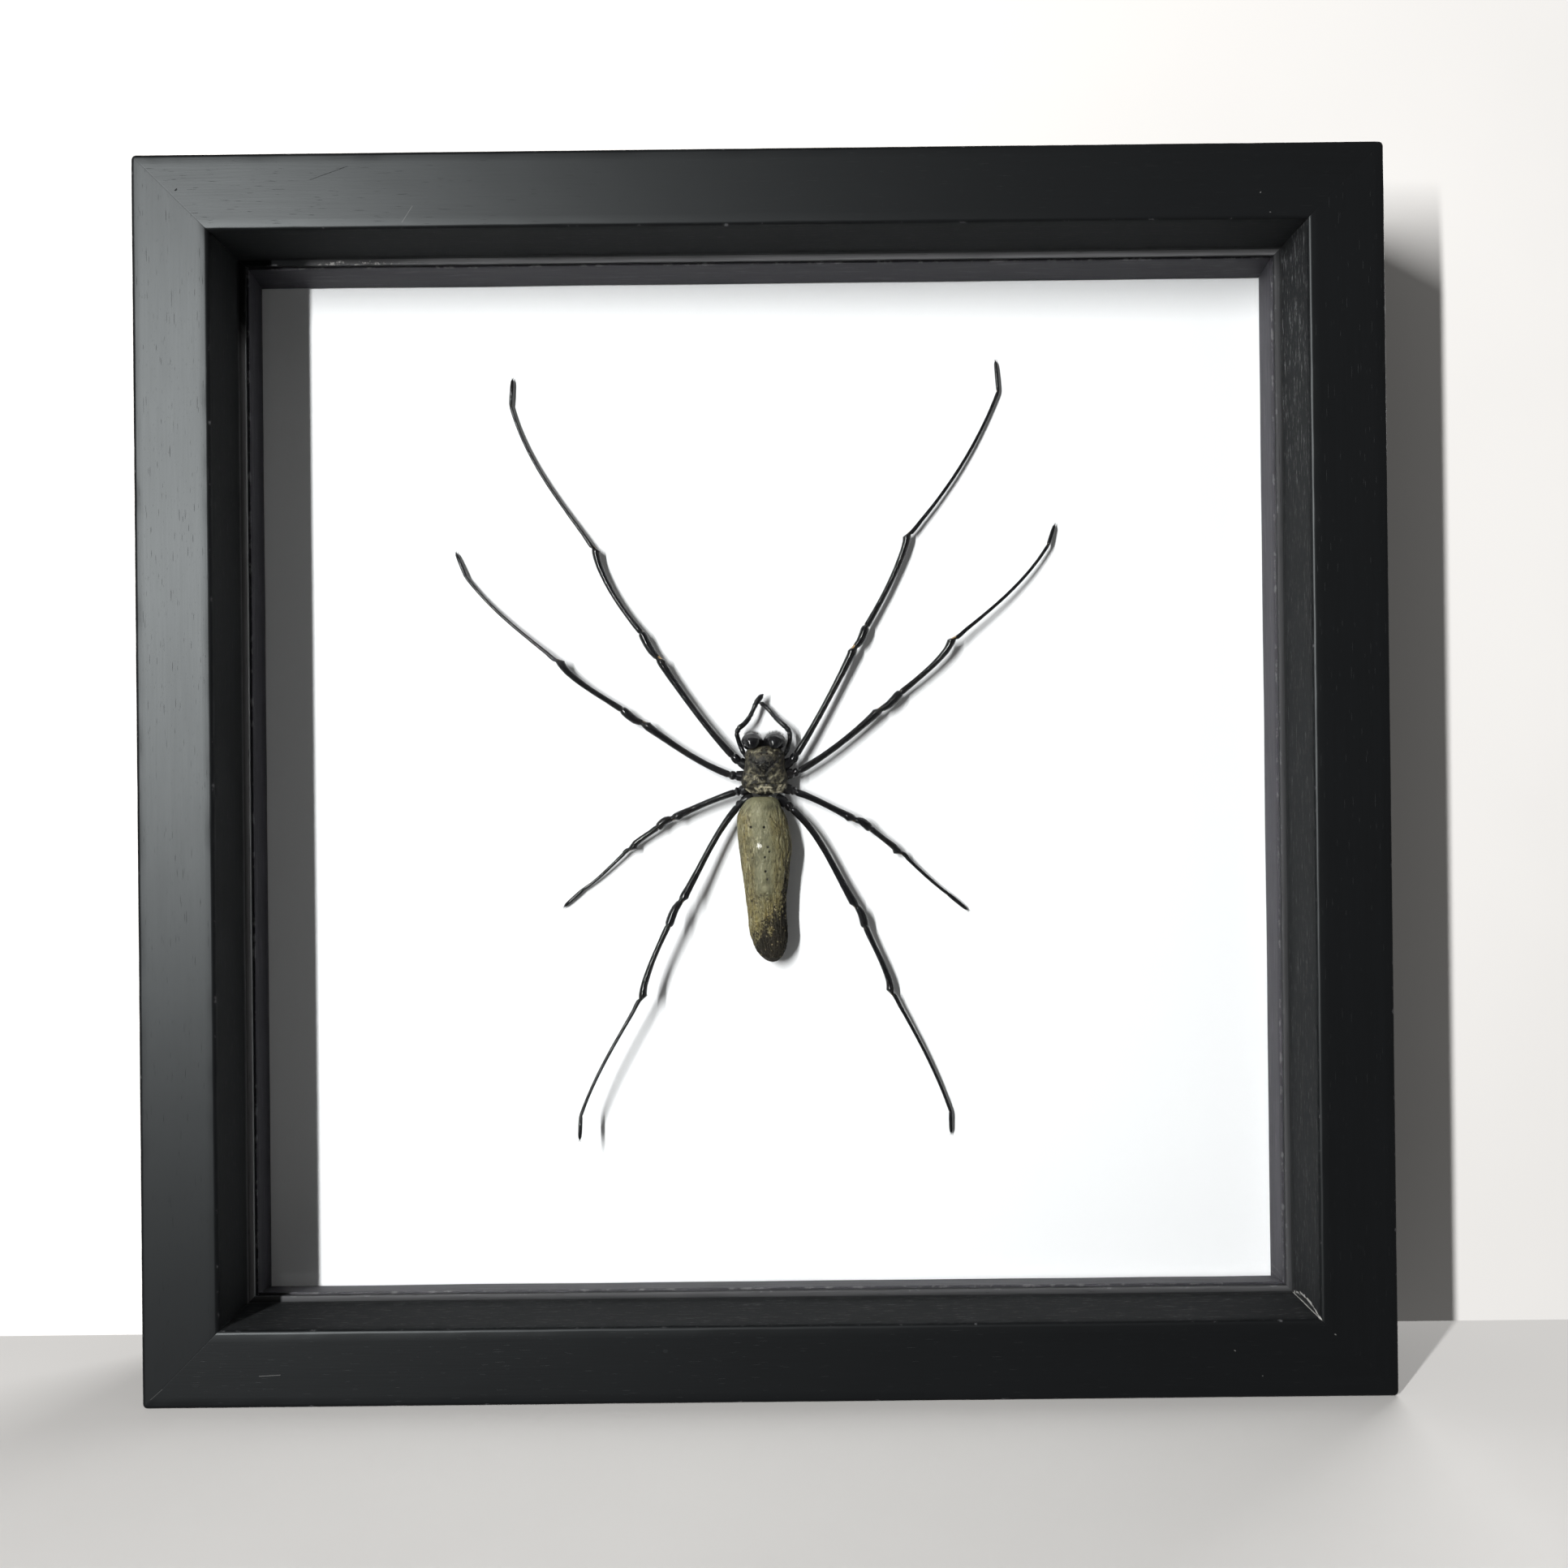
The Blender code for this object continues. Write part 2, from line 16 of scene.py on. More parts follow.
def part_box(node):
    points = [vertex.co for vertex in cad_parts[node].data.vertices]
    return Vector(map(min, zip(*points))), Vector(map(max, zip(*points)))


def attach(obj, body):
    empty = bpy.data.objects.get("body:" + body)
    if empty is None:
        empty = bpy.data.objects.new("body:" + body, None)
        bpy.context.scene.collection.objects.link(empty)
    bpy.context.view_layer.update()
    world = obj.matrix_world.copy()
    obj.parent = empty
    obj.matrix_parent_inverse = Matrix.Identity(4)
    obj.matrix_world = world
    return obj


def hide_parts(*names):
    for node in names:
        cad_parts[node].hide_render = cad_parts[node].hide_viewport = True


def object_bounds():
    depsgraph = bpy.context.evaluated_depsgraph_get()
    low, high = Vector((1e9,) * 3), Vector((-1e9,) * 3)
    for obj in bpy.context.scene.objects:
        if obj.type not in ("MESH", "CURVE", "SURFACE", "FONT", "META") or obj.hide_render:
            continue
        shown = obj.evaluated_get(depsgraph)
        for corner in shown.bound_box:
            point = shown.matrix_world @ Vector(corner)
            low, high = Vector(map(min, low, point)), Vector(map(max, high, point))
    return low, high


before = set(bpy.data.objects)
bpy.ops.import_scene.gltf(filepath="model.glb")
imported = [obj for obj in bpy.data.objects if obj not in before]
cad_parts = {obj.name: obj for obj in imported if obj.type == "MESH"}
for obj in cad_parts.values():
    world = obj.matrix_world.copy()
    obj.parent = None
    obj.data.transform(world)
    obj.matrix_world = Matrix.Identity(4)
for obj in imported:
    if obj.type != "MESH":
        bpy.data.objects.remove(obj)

bl_info = {
    "name": "Framed Orb-Weaver Spider",
    "version": (1, 0, 0),
    "blender": (4, 5, 0),
    "location": "3D View > Sidebar > Specimen",
    "description": "Dresses a dried giant orb weaver and its deep black box frame",
    "category": "Object",
}

CAD_BOX = [list(corner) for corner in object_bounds()]
MM = 0.001
BODY = "root"

# Box frame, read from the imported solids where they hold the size
HALF_SIDE = CAD_BOX[1][0] / MM
FRONT_Y = CAD_BOX[0][1] / MM
FRAME_DEPTH = (CAD_BOX[1][1] - CAD_BOX[0][1]) / MM
STRIP_LOW, STRIP_HIGH = (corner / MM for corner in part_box("spacer_left"))
PLATE_LOW, PLATE_HIGH = (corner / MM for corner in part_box("hanger"))
TAB_LOW, TAB_HIGH = (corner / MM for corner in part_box("tab_1"))
SCREW_LOW, SCREW_HIGH = (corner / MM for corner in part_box("hanger_screw_right"))
CARD_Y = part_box("backing_card")[0].y / MM
FACE_WIDTH = 15.5
LIP_DEPTH = 19.0
LIP_WIDTH = 1.2
LIP_THICKNESS = 1.0
REAR_WALL = 12.0
OUTER_EASE = 0.8
INNER_EASE = 0.9
SIGHT_HALF = HALF_SIDE - FACE_WIDTH - LIP_WIDTH
STRIP_LEAN = 1.3
POCKET_ROOM = 0.3
POCKET_EASE = 0.8
POCKET_PAST = 2.0

# Camera, found from the frame's corners in the photograph
IMAGE_SIZE = 1932
FOCAL_PIXELS = 2100.75
SENSOR = 36.0
CAMERA_PLACE = (4.414, FRONT_Y - 339.306, HALF_SIDE - 3.337)
CAMERA_YAW, CAMERA_PITCH, CAMERA_ROLL = 0.0635, 0.2278, -0.6271

# Spider: cross-sections from front to back, as up, sideways middle, half width, rise above and drop
# below the mid plane, and how far that plane stands off the card
CEPHALOTHORAX = (
    (6.25, -0.15, 0.0, 0.0, 0.0, 5.2), (6.1, -0.15, 1.9, 1.5, 1.5, 5.2),
    (5.6, -0.15, 3.6, 2.5, 2.3, 5.1), (4.5, -0.1, 4.2, 3.3, 2.7, 5.0),
    (2.8, -0.05, 4.25, 3.6, 2.9, 4.9), (1.4, -0.1, 4.4, 3.2, 3.0, 4.9),
    (0.2, -0.1, 4.8, 2.7, 3.0, 4.8), (-1.2, -0.1, 5.1, 2.9, 3.0, 4.7),
    (-2.6, -0.05, 4.6, 2.6, 2.8, 4.6), (-3.6, 0.0, 3.4, 1.8, 2.2, 4.4),
    (-4.1, 0.0, 1.6, 0.6, 1.5, 4.1), (-4.4, -0.1, 0.9, 0.5, 0.9, 4.1),
    (-5.3, -0.4, 0.8, 0.6, 0.8, 4.6), (-5.8, -0.5, 0.0, 0.0, 0.0, 4.8),
)
ABDOMEN = (
    (-4.5, -0.6, 0.0, 0.0, 0.0, 6.3), (-4.7, -0.6, 2.4, 1.6, 1.3, 6.2),
    (-5.2, -0.65, 3.3, 2.4, 2.5, 5.9), (-6.3, -0.8, 4.1, 3.3, 3.7, 5.5),
    (-8.5, -0.85, 5.1, 4.1, 4.5, 5.1), (-11.5, -0.5, 5.5, 4.5, 4.6, 4.95),
    (-15.0, -0.1, 5.7, 4.6, 4.6, 4.9), (-19.0, -0.1, 5.3, 4.5, 4.6, 4.9),
    (-24.0, -0.1, 4.6, 4.1, 4.3, 4.9), (-28.0, 0.0, 4.25, 3.8, 4.0, 4.9),
    (-32.0, 0.25, 4.2, 3.6, 3.9, 4.9), (-35.0, 0.55, 3.9, 3.3, 3.6, 4.8),
    (-37.3, 0.8, 3.2, 2.6, 2.9, 4.6), (-39.0, 1.0, 2.1, 1.7, 1.9, 4.4),
    (-39.8, 1.15, 1.1, 0.9, 1.0, 4.2), (-40.1, 1.2, 0.0, 0.0, 0.0, 4.2),
)
HEAD_MIDDLE = -0.3
CHELICERA = (
    (2.3, 6.0, 7.0, 0.6), (2.35, 6.4, 7.2, 1.3),
    (2.4, 6.9, 6.9, 1.75), (2.42, 7.2, 6.1, 1.95),
    (2.4, 7.35, 5.0, 1.93), (2.3, 7.4, 3.9, 1.6),
    (2.15, 7.4, 3.0, 1.05), (2.0, 7.45, 2.5, 0.6),
    (1.9, 7.5, 2.2, 0.4), (1.45, 7.5, 1.7, 0.28),
    (0.95, 7.5, 1.25, 0.12), (0.8, 7.45, 1.15, 0.03),
)

# Feelers: points of the middle line with the radius there, and which of them are joints
PALP_LEFT = (
    (-3.6, 3.8, 4.0, 0.5), (-4.5, 4.8, 3.9, 0.5), (-5.2, 6.2, 3.8, 0.5), (-5.75, 7.9, 3.9, 0.5),
    (-6.0, 9.2, 4.1, 0.5), (-5.65, 10.05, 4.1, 0.56), (-4.35, 11.2, 4.0, 0.56), (-3.2, 12.7, 3.8, 0.5),
    (-2.4, 14.3, 3.6, 0.46), (-1.85, 15.5, 3.4, 0.58), (-1.1, 16.6, 3.2, 0.6), (-0.55, 17.25, 3.1, 0.5),
    (-0.2, 17.55, 3.1, 0.25),
)
PALP_RIGHT = (
    (3.5, 3.9, 4.0, 0.5), (4.5, 5.0, 3.9, 0.5), (5.1, 6.5, 3.8, 0.5), (5.4, 8.1, 3.9, 0.5),
    (5.25, 9.4, 3.9, 0.52), (4.6, 10.3, 3.8, 0.56), (3.2, 11.6, 3.4, 0.54), (2.1, 12.7, 2.9, 0.48),
    (1.0, 14.1, 2.4, 0.46), (-0.1, 15.2, 2.0, 0.5), (-0.85, 15.65, 1.8, 0.44), (-1.3, 15.75, 1.7, 0.22),
)
PALP_JOINTS = (1, 4, 5, 7, 9)

# Legs: where each joint lies, in this order: root of the coxa, root of the trochanter, root, and end
# of the femur, end of the patella, of the tibia, of the metatarsus, and the claw. The bows say how
# far the femur, tibia and metatarsus curve out to the left of the line from their root to their end,
# and how much more they do so in their outer half than in their inner one.
LEGS = {
    "leg_1_left": {
        "joints": ((-4.6, 1.9, 4.2), (-5.6, 3.05, 4.2), (-7.0, 4.3, 4.2), (-22.9, 25.6, 3.2),
                   (-26.5, 31.2, 2.9), (-36.7, 49.8, 2.3), (-54.4, 80.9, 1.0), (-54.0, 86.6, 0.8)),
        "bows": ((0.54, -0.14), (1.2, 0.2), (1.7, 0.7)),
    },
    "leg_2_left": {
        "joints": ((-5.2, -0.1, 4.0), (-6.4, -0.05, 4.0), (-7.7, 0.25, 4.0), (-26.4, 11.6, 3.0),
                   (-30.9, 14.6, 2.9), (-44.8, 25.4, 3.4), (-64.4, 43.7, 1.5), (-66.6, 49.0, 0.8)),
        "bows": ((0.71, -0.33), (0.7, 0.4), (0.9, 0.3)),
    },
    "leg_3_left": {
        "joints": ((-4.9, -3.0, 4.0), (-5.6, -3.25, 4.0), (-6.5, -3.55, 4.0), (-20.2, -9.0, 3.2),
                   (-23.5, -11.0, 3.0), (-29.6, -15.7, 2.2), (-39.7, -24.2, 1.1), (-43.9, -27.9, 0.8)),
        "bows": ((-0.24, 0.13), (-0.2, -0.2), (0.2, 0.3)),
    },
    "leg_4_left": {
        "joints": ((-4.3, -4.9, 4.0), (-5.1, -5.7, 4.2), (-6.0, -6.7, 4.5), (-18.3, -26.7, 7.3),
                   (-21.0, -31.9, 7.8), (-27.1, -47.6, 7.5), (-39.9, -71.9, 8.4), (-40.1, -76.8, 9.0)),
        "bows": ((-0.47, 0.62), (-0.5, -0.1), (-0.7, -0.3)),
    },
    "leg_1_right": {
        "joints": ((5.2, 2.1, 4.2), (5.8, 3.1, 4.2), (6.75, 4.5, 4.2), (19.7, 27.5, 3.1),
                   (22.2, 32.0, 2.7), (31.8, 52.1, 2.2), (51.4, 82.8, 1.0), (50.9, 89.4, 0.8)),
        "bows": ((-0.3, 0.14), (-0.65, -0.1), (-1.7, 0.0)),
    },
    "leg_2_right": {
        "joints": ((5.2, 0.0, 4.0), (6.2, 0.4, 4.0), (7.35, 0.95, 4.0), (25.1, 14.0, 3.2),
                   (29.5, 17.6, 3.1), (41.2, 29.2, 4.0), (61.7, 49.2, 2.2), (63.3, 53.7, 1.0)),
        "bows": ((-0.58, 0.2), (-0.7, -0.3), (-1.3, -0.4)),
    },
    "leg_3_right": {
        "joints": ((5.1, -2.85, 4.0), (5.75, -3.2, 4.0), (6.55, -3.6, 4.1), (19.3, -9.7, 3.6),
                   (22.7, -11.7, 3.4), (29.3, -17.1, 2.3), (39.2, -26.0, 1.2), (43.4, -29.5, 0.8)),
        "bows": ((0.22, -0.2), (0.0, 0.1), (-0.2, -0.1)),
    },
    "leg_4_right": {
        "joints": ((3.8, -5.3, 4.0), (4.65, -6.2, 4.2), (5.7, -7.3, 4.2), (19.4, -28.4, 3.6),
                   (21.3, -32.9, 3.4), (27.0, -47.5, 2.6), (39.3, -73.1, 1.1), (39.4, -77.8, 0.8)),
        "bows": ((0.85, -0.96), (0.4, 0.4), (0.7, 0.1)),
    },
}
BOWED = {2: 0, 4: 1, 5: 2}
COXA_REACH = 1.7
BODY_LIFT = 4.3

# Shapes of the leg segments. Each row has a share of the segment's length plus millimetres, the
# radius there, how much soft joint skin shows, and how far the middle moves to the bending side.
COXA = (
    (0, 0, 0.98, 0, 0), (0.5, 0, 1.18, 0, 0), (1, -0.3, 1.05, 0, 0.05), (1, -0.1, 0.8, 1, 0),
)
TROCHANTER = (
    (0, 0.08, 0.74, 1, 0), (0, 0.25, 0.94, 0, 0), (0.55, 0, 0.98, 0, 0), (1, -0.28, 0.86, 0, 0.05),
    (1, -0.1, 0.68, 1, 0),
)
FEMUR = (
    (0, 0.08, 0.6, 1, 0), (0, 0.3, 0.76, 0, 0), (0.1, 0, 0.75, 0, 0), (0.25, 0, 0.69, 0, 0),
    (0.5, 0, 0.67, 0, 0), (0.7, 0, 0.72, 0, 0), (0.84, 0, 0.82, 0, 0), (1, -2.0, 0.9, 0, 0.05),
    (1, -1.2, 0.96, 0, 0.12), (1, -0.7, 0.93, 0, 0.16), (1, -0.42, 0.8, 0, 0.12), (1, -0.28, 0.64, 1, 0.05),
    (1, -0.05, 0.58, 1, 0),
)
PATELLA = (
    (0, 0.1, 0.58, 1, 0), (0, 0.32, 0.7, 0, -0.1), (0.3, 0, 0.83, 0, -0.32), (0.55, 0, 0.92, 0, -0.26),
    (0.8, 0, 0.95, 0, -0.06), (1, -0.4, 0.86, 0, 0), (1, -0.2, 0.7, 0, 0), (1, -0.08, 0.6, 1, 0),
)
TIBIA = (
    (0, 0.08, 0.56, 1, 0), (0, 0.28, 0.67, 0, 0), (0.08, 0, 0.65, 0, 0), (0.25, 0, 0.59, 0, 0),
    (0.45, 0, 0.6, 0, 0), (0.62, 0, 0.65, 0, 0), (0.8, 0, 0.73, 0, 0.02), (1, -2.2, 0.8, 0, 0.14),
    (1, -1.2, 0.88, 0, 0.3), (1, -0.65, 0.86, 0, 0.38), (1, -0.4, 0.7, 0, 0.3), (1, -0.28, 0.54, 1, 0.16),
    (1, -0.05, 0.44, 1, -0.05),
)
METATARSUS = (
    (0, 0.1, 0.42, 1, -0.12), (0, 0.35, 0.47, 0, -0.2), (0, 1.5, 0.46, 0, -0.18), (0.1, 0, 0.42, 0, -0.06),
    (0.3, 0, 0.365, 0, 0), (0.6, 0, 0.355, 0, 0), (0.85, 0, 0.335, 0, 0), (1, -0.5, 0.37, 0, 0),
    (1, -0.12, 0.33, 1, 0),
)
TARSUS = (
    (0, 0.08, 0.33, 1, 0), (0, 0.35, 0.41, 0, 0), (0.35, 0, 0.44, 0, 0), (0.75, 0, 0.42, 0, 0),
    (1, -0.5, 0.35, 0, 0), (1, -0.2, 0.26, 0, 0), (1, -0.05, 0.14, 0, 0),
)
SEGMENTS = (COXA, TROCHANTER, FEMUR, PATELLA, TIBIA, METATARSUS, TARSUS)
SLANT = {2: 0.75, 4: 0.8}
SLANT_REACH = 1.6
TAN_JOINTS = {"leg_1_left": (2,), "leg_1_right": (2,), "leg_2_right": (4,)}
LEG_SIDES = 20
RING_STEP = 0.55
JOINT_STEP = 0.13
JOINT_REACH = 1.0
CLAW_LENGTH = 0.7
CLAW_RADIUS = 0.07

# Rings along a body and points round each ring
FRONT_RINGS, FRONT_SIDES = 150, 144
ABDOMEN_RINGS, ABDOMEN_SIDES = 350, 256
PALP_RINGS, PALP_SIDES = 130, 16
JAW_RINGS, JAW_SIDES = 90, 28

# Two small horns on the front body, as their place beside the middle, height and radius
HORN_PLACE, HORN_HEIGHT, HORN_RADIUS = (0.85, 1.9), 0.3, 0.5

# Marks on the back of the abdomen, as (sideways, up), and for a pit how clear it is
SIGILLA = (
    (-3.13, -10.98, 1.0), (-0.32, -11.01, 1.15), (0.47, -15.24, 0.9), (0.81, -16.21, 0.7),
    (-2.9, -17.6, 0.45), (-0.2, -17.39, 0.9), (-0.1, -20.4, 1.1), (0.3, -22.11, 0.7),
)
SIGILLUM_RADIUS = 0.23
SIGILLUM_DEPTH = 0.2
WHITE_FLECK = (-1.38, -14.95)
WHITE_FLECK_RADIUS = 0.52
PALE_ARC = -8.1
PALE_PATCH, PALE_PATCH_RADIUS = (-0.3, -23.9), 1.3
DARK_BELT = -25.5
DARK_BELT_HALF = 1.9

# Eyes as (sideways from the head's middle, up, radius), on the left side and mirrored
EYES = ((0.5, 5.35, 0.24), (0.62, 4.55, 0.25), (2.95, 4.75, 0.24), (3.15, 4.1, 0.22))

SEED, TONE_SEED, SIZE_SEED = 7, 3, 11

# Coats of hair: share of the look's hair density, length and radius in millimetres, how far the hairs
# lean into their lay, how much they differ and how much they bend
COAT_INPUTS = ("Density", "Length", "Radius", "Lean", "Spread", "Bend")
COATS = {
    "front body": (0.8, 0.38, 0.01, 0.74, 0.3, 0.3),
    "tufts": (0.9, 0.36, 0.036, 0.92, 0.4, 0.12),
    "abdomen": (0.12, 0.3, 0.005, 0.66, 0.3, 0.3),
    "jaw": (0.75, 0.62, 0.015, 0.6, 0.38, 0.3),
    "feeler": (0.3, 0.5, 0.006, 0.5, 0.22, 0.2),
    "leg": (0.16, 0.36, 0.006, 0.66, 0.22, 0.2),
}
BODY_HAIR = ((0.02, 0.017, 0.011), (0.62, 0.56, 0.42))
TUFT_HAIR = ((0.2, 0.18, 0.12), (0.8, 0.74, 0.58))
DARK_HAIR = ((0.006, 0.006, 0.006), (0.09, 0.088, 0.084))
LEG_HAIR = ((0.005, 0.005, 0.005), (0.09, 0.07, 0.05))


def colour(name, description, default):
    """A colour that a user may change."""
    return bpy.props.FloatVectorProperty(
        name=name, description=description, default=default, subtype="COLOR", size=3, min=0.0, max=1.0,
    )


def factor(name, description, default):
    """A share that a user may change, from 0 to 1."""
    return bpy.props.FloatProperty(
        name=name, description=description, default=default, subtype="FACTOR", min=0.0, max=1.0,
    )


class FrameLook(bpy.types.PropertyGroup):
    """Finish of the box frame"""

    paint: colour("Paint", "Colour of the black paint on the rails", (0.0034, 0.0037, 0.0043))
    rub: colour("Rubbed paint", "Colour where the paint is rubbed thin", (0.16, 0.16, 0.165))
    sheen: factor("Roughness", "Roughness of the satin paint", 0.4)
    grain: bpy.props.FloatProperty(
        name="Grain depth", description="Depth of the wood grain under the paint", subtype="DISTANCE",
        unit="LENGTH", min=0.0, max=0.001, default=0.00001,
    )
    wear: factor("Edge wear", "How much the edges are rubbed", 0.35)
    strip: colour("Spacer strips", "Colour of the strips behind the glass", (0.02, 0.019, 0.0235))
    card: colour("Card", "Colour of the backing card", (0.86, 0.86, 0.875))
    board: colour("Back board", "Colour of the hardboard at the back", (0.22, 0.125, 0.065))


class SpiderLook(bpy.types.PropertyGroup):
    """Finish of the spider"""

    chitin: colour("Chitin", "Colour of the glossy legs and jaws", (0.0024, 0.0024, 0.0032))
    membrane: colour("Joint skin", "Colour of the soft skin in the leg joints", (0.3, 0.19, 0.08))
    skin: colour("Abdomen", "Main colour of the abdomen", (0.125, 0.12, 0.07))
    carapace: colour("Carapace", "Colour of the front body under its hair", (0.026, 0.023, 0.0145))
    hairs: bpy.props.FloatProperty(
        name="Hair density", description="Hairs for each square millimetre of hairy skin",
        min=0.0, max=100.0, default=26.0,
    )


class StageLook(bpy.types.PropertyGroup):
    """Pale stage and its light"""

    surface: colour("Stage", "Colour of the floor and the backdrop", (0.74, 0.725, 0.705))
    window: bpy.props.FloatProperty(
        name="Window light", description="Power of the tall light at the left", subtype="POWER",
        unit="POWER", min=0.0, max=1000.0, default=17.5,
    )
    room: bpy.props.FloatProperty(
        name="Room light", description="Strength of the even light from all round",
        min=0.0, max=5.0, default=0.21,
    )


def off_card(across, up, lift):
    """A point of the spider, in millimetres of the row frame."""
    return Vector((across, CARD_Y - lift, HALF_SIDE + up))


def spread(value, low, high):
    """0 below low, 1 above high and a smooth rise between; low may be the larger one."""
    share = min(1.0, max(0.0, (value - low) / (high - low)))
    return share * share * (3 - 2 * share)


def bump(distance, radius):
    """1 in the middle and 0 from radius outwards, with a smooth fall."""
    return 1.0 - spread(abs(distance), 0.0, radius)


def wave(x, y, z):
    """Smooth random value, between about -1 and 1, at a place."""
    return noise.noise(Vector((x, y, z)))


def smooth_rows(rows, count):
    """Rows read at count even steps along a smooth curve through them."""
    table = np.array(rows, float)
    steps = np.linalg.norm(np.diff(table[:, :4], axis=0), axis=1)
    along = np.concatenate(([0.0], np.cumsum(np.maximum(steps, 1e-6))))
    slope = np.gradient(table, along, axis=0)
    slope[0] = (table[1] - table[0]) / (along[1] - along[0])
    slope[-1] = (table[-1] - table[-2]) / (along[-1] - along[-2])
    found = []
    for place in np.linspace(0.0, along[-1], count):
        first = min(int(np.searchsorted(along, place, side="right")) - 1, len(along) - 2)
        width = along[first + 1] - along[first]
        t = (place - along[first]) / width
        found.append(
            (2 * t**3 - 3 * t**2 + 1) * table[first]
            + (t**3 - 2 * t**2 + t) * width * slope[first]
            + (3 * t**2 - 2 * t**3) * table[first + 1]
            + (t**3 - t**2) * width * slope[first + 1]
        )
    return np.array(found)


def wire(tree, socket, value):
    """Give a socket a plain value, or link the socket that feeds it."""
    if isinstance(value, bpy.types.NodeSocket):
        tree.links.new(value, socket)
    else:
        socket.default_value = value


def put(tree, kind, inputs=None, **settings):
    """Add a node. Each of its inputs gets a plain value or the socket that feeds it."""
    node = tree.nodes.new(kind)
    for key, value in settings.items():
        setattr(node, key, value)
    for key, value in (inputs or {}).items():
        wire(tree, node.inputs[key], value)
    return node


def maths(tree, operation, first, second=0.0, clamp=False):
    """Result of a Math node."""
    return put(tree, "ShaderNodeMath", {0: first, 1: second}, operation=operation, use_clamp=clamp).outputs[0]


def times(tree, first, second, clamp=False):
    """Product of two values."""
    return maths(tree, "MULTIPLY", first, second, clamp)


def total(tree, *parts, clamp=False):
    """Sum of values; a part may be a pair of a value and its weight."""
    found = None
    for part in parts:
        value = times(tree, *part) if isinstance(part, tuple) else part
        found = value if found is None else maths(tree, "ADD", found, value, clamp)
    return found


def vector_maths(tree, operation, first, second, output=0):
    """Result of a Vector Math node on two vectors."""
    return put(tree, "ShaderNodeVectorMath", {0: first, 1: second}, operation=operation).outputs[output]


def scaled(tree, vector, share):
    """A vector times a value."""
    return put(tree, "ShaderNodeVectorMath", {0: vector, "Scale": share}, operation="SCALE").outputs[0]


def shade(tint, share=1.0):
    """A plain colour, darker or lighter by a share."""
    return tuple(value * share for value in tint)


def mixed(tree, share, first, second):
    """Colour of a Mix node; a plain colour has three numbers."""
    ends = [(*end, 1.0) if isinstance(end, tuple) and len(end) == 3 else end for end in (first, second)]
    node = put(tree, "ShaderNodeMix", data_type="RGBA")
    for index, value in ((0, share), (6, ends[0]), (7, ends[1])):
        wire(tree, node.inputs[index], value)
    return node.outputs[2]


def layered(tree, base, *coats):
    """Colour of a base under coats, each with its mask and its colour."""
    for mask, tint in coats:
        base = mixed(tree, mask, base, tint)
    return base


def ranged(tree, value, low, high, to_low=0.0, to_high=1.0):
    """Value stretched from one range to another, and held inside it."""
    wanted = {"Value": value, "From Min": low, "From Max": high, "To Min": to_low, "To Max": to_high}
    return put(tree, "ShaderNodeMapRange", wanted, interpolation_type="SMOOTHSTEP").outputs[0]


def grains(tree, vector, scale, detail=3.0, roughness=0.55, stretch=None):
    """Value of a noise texture with so many features to the metre, on a vector scaled by stretch."""
    if stretch:
        vector = put(tree, "ShaderNodeMapping", {"Vector": vector, "Scale": stretch}).outputs[0]
    wanted = {"Vector": vector, "Scale": scale, "Detail": detail, "Roughness": roughness}
    return put(tree, "ShaderNodeTexNoise", wanted).outputs[0]


def attribute(tree, name, output="Fac"):
    """A mesh attribute of the piece."""
    return put(tree, "ShaderNodeAttribute", attribute_name=name).outputs[output]


def object_place(tree):
    """Object coordinates, which are the row frame's metres on every piece."""
    return put(tree, "ShaderNodeTexCoord").outputs["Object"]


def named_tree(name, kind, inputs, outputs):
    """A new node tree with named sockets: the tree, the inputs inside it and its outputs to feed."""
    tree = bpy.data.node_groups.new(name, kind)
    for label, socket_kind, value in inputs:
        socket = tree.interface.new_socket(label, in_out="INPUT", socket_type="NodeSocket" + socket_kind)
        if value is not None:
            socket.default_value = value
    for label, socket_kind in outputs:
        tree.interface.new_socket(label, in_out="OUTPUT", socket_type="NodeSocket" + socket_kind)
    start = tree.nodes.new("NodeGroupInput")
    end = tree.nodes.new("NodeGroupOutput")
    return tree, start.outputs, end.inputs


def grain_group(name):
    """Wood grain: lengthwise streaks, open pores and their relief."""
    inputs = (("Vector", "Vector", None), ("Scale", "Float", 90.0), ("Stretch", "Float", 26.0))
    outputs = (("Streaks", "Float"), ("Pores", "Float"), ("Scratches", "Float"), ("Height", "Float"))
    tree, given, wanted = named_tree(name, "ShaderNodeTree", inputs, outputs)
    across = put(tree, "ShaderNodeCombineXYZ", {0: 1.0, 1: given["Stretch"], 2: given["Stretch"]}).outputs[0]
    run = vector_maths(tree, "MULTIPLY", given["Vector"], across)
    scale = given["Scale"]
    streaks = grains(tree, run, scale, detail=4.0)
    broad = grains(tree, run, times(tree, scale, 0.22), detail=2.0)
    pores = ranged(tree, grains(tree, run, times(tree, scale, 2.6), detail=1.0), 0.7, 0.78)
    rubbed = grains(tree, run, times(tree, scale, 0.7), detail=5.0, roughness=0.75)
    both = total(tree, (streaks, 0.6), (broad, 0.4))
    wire(tree, wanted["Streaks"], both)
    wire(tree, wanted["Pores"], pores)
    wire(tree, wanted["Scratches"], ranged(tree, rubbed, 0.54, 0.7))
    wire(tree, wanted["Height"], total(tree, both, (pores, -0.8)))
    return tree


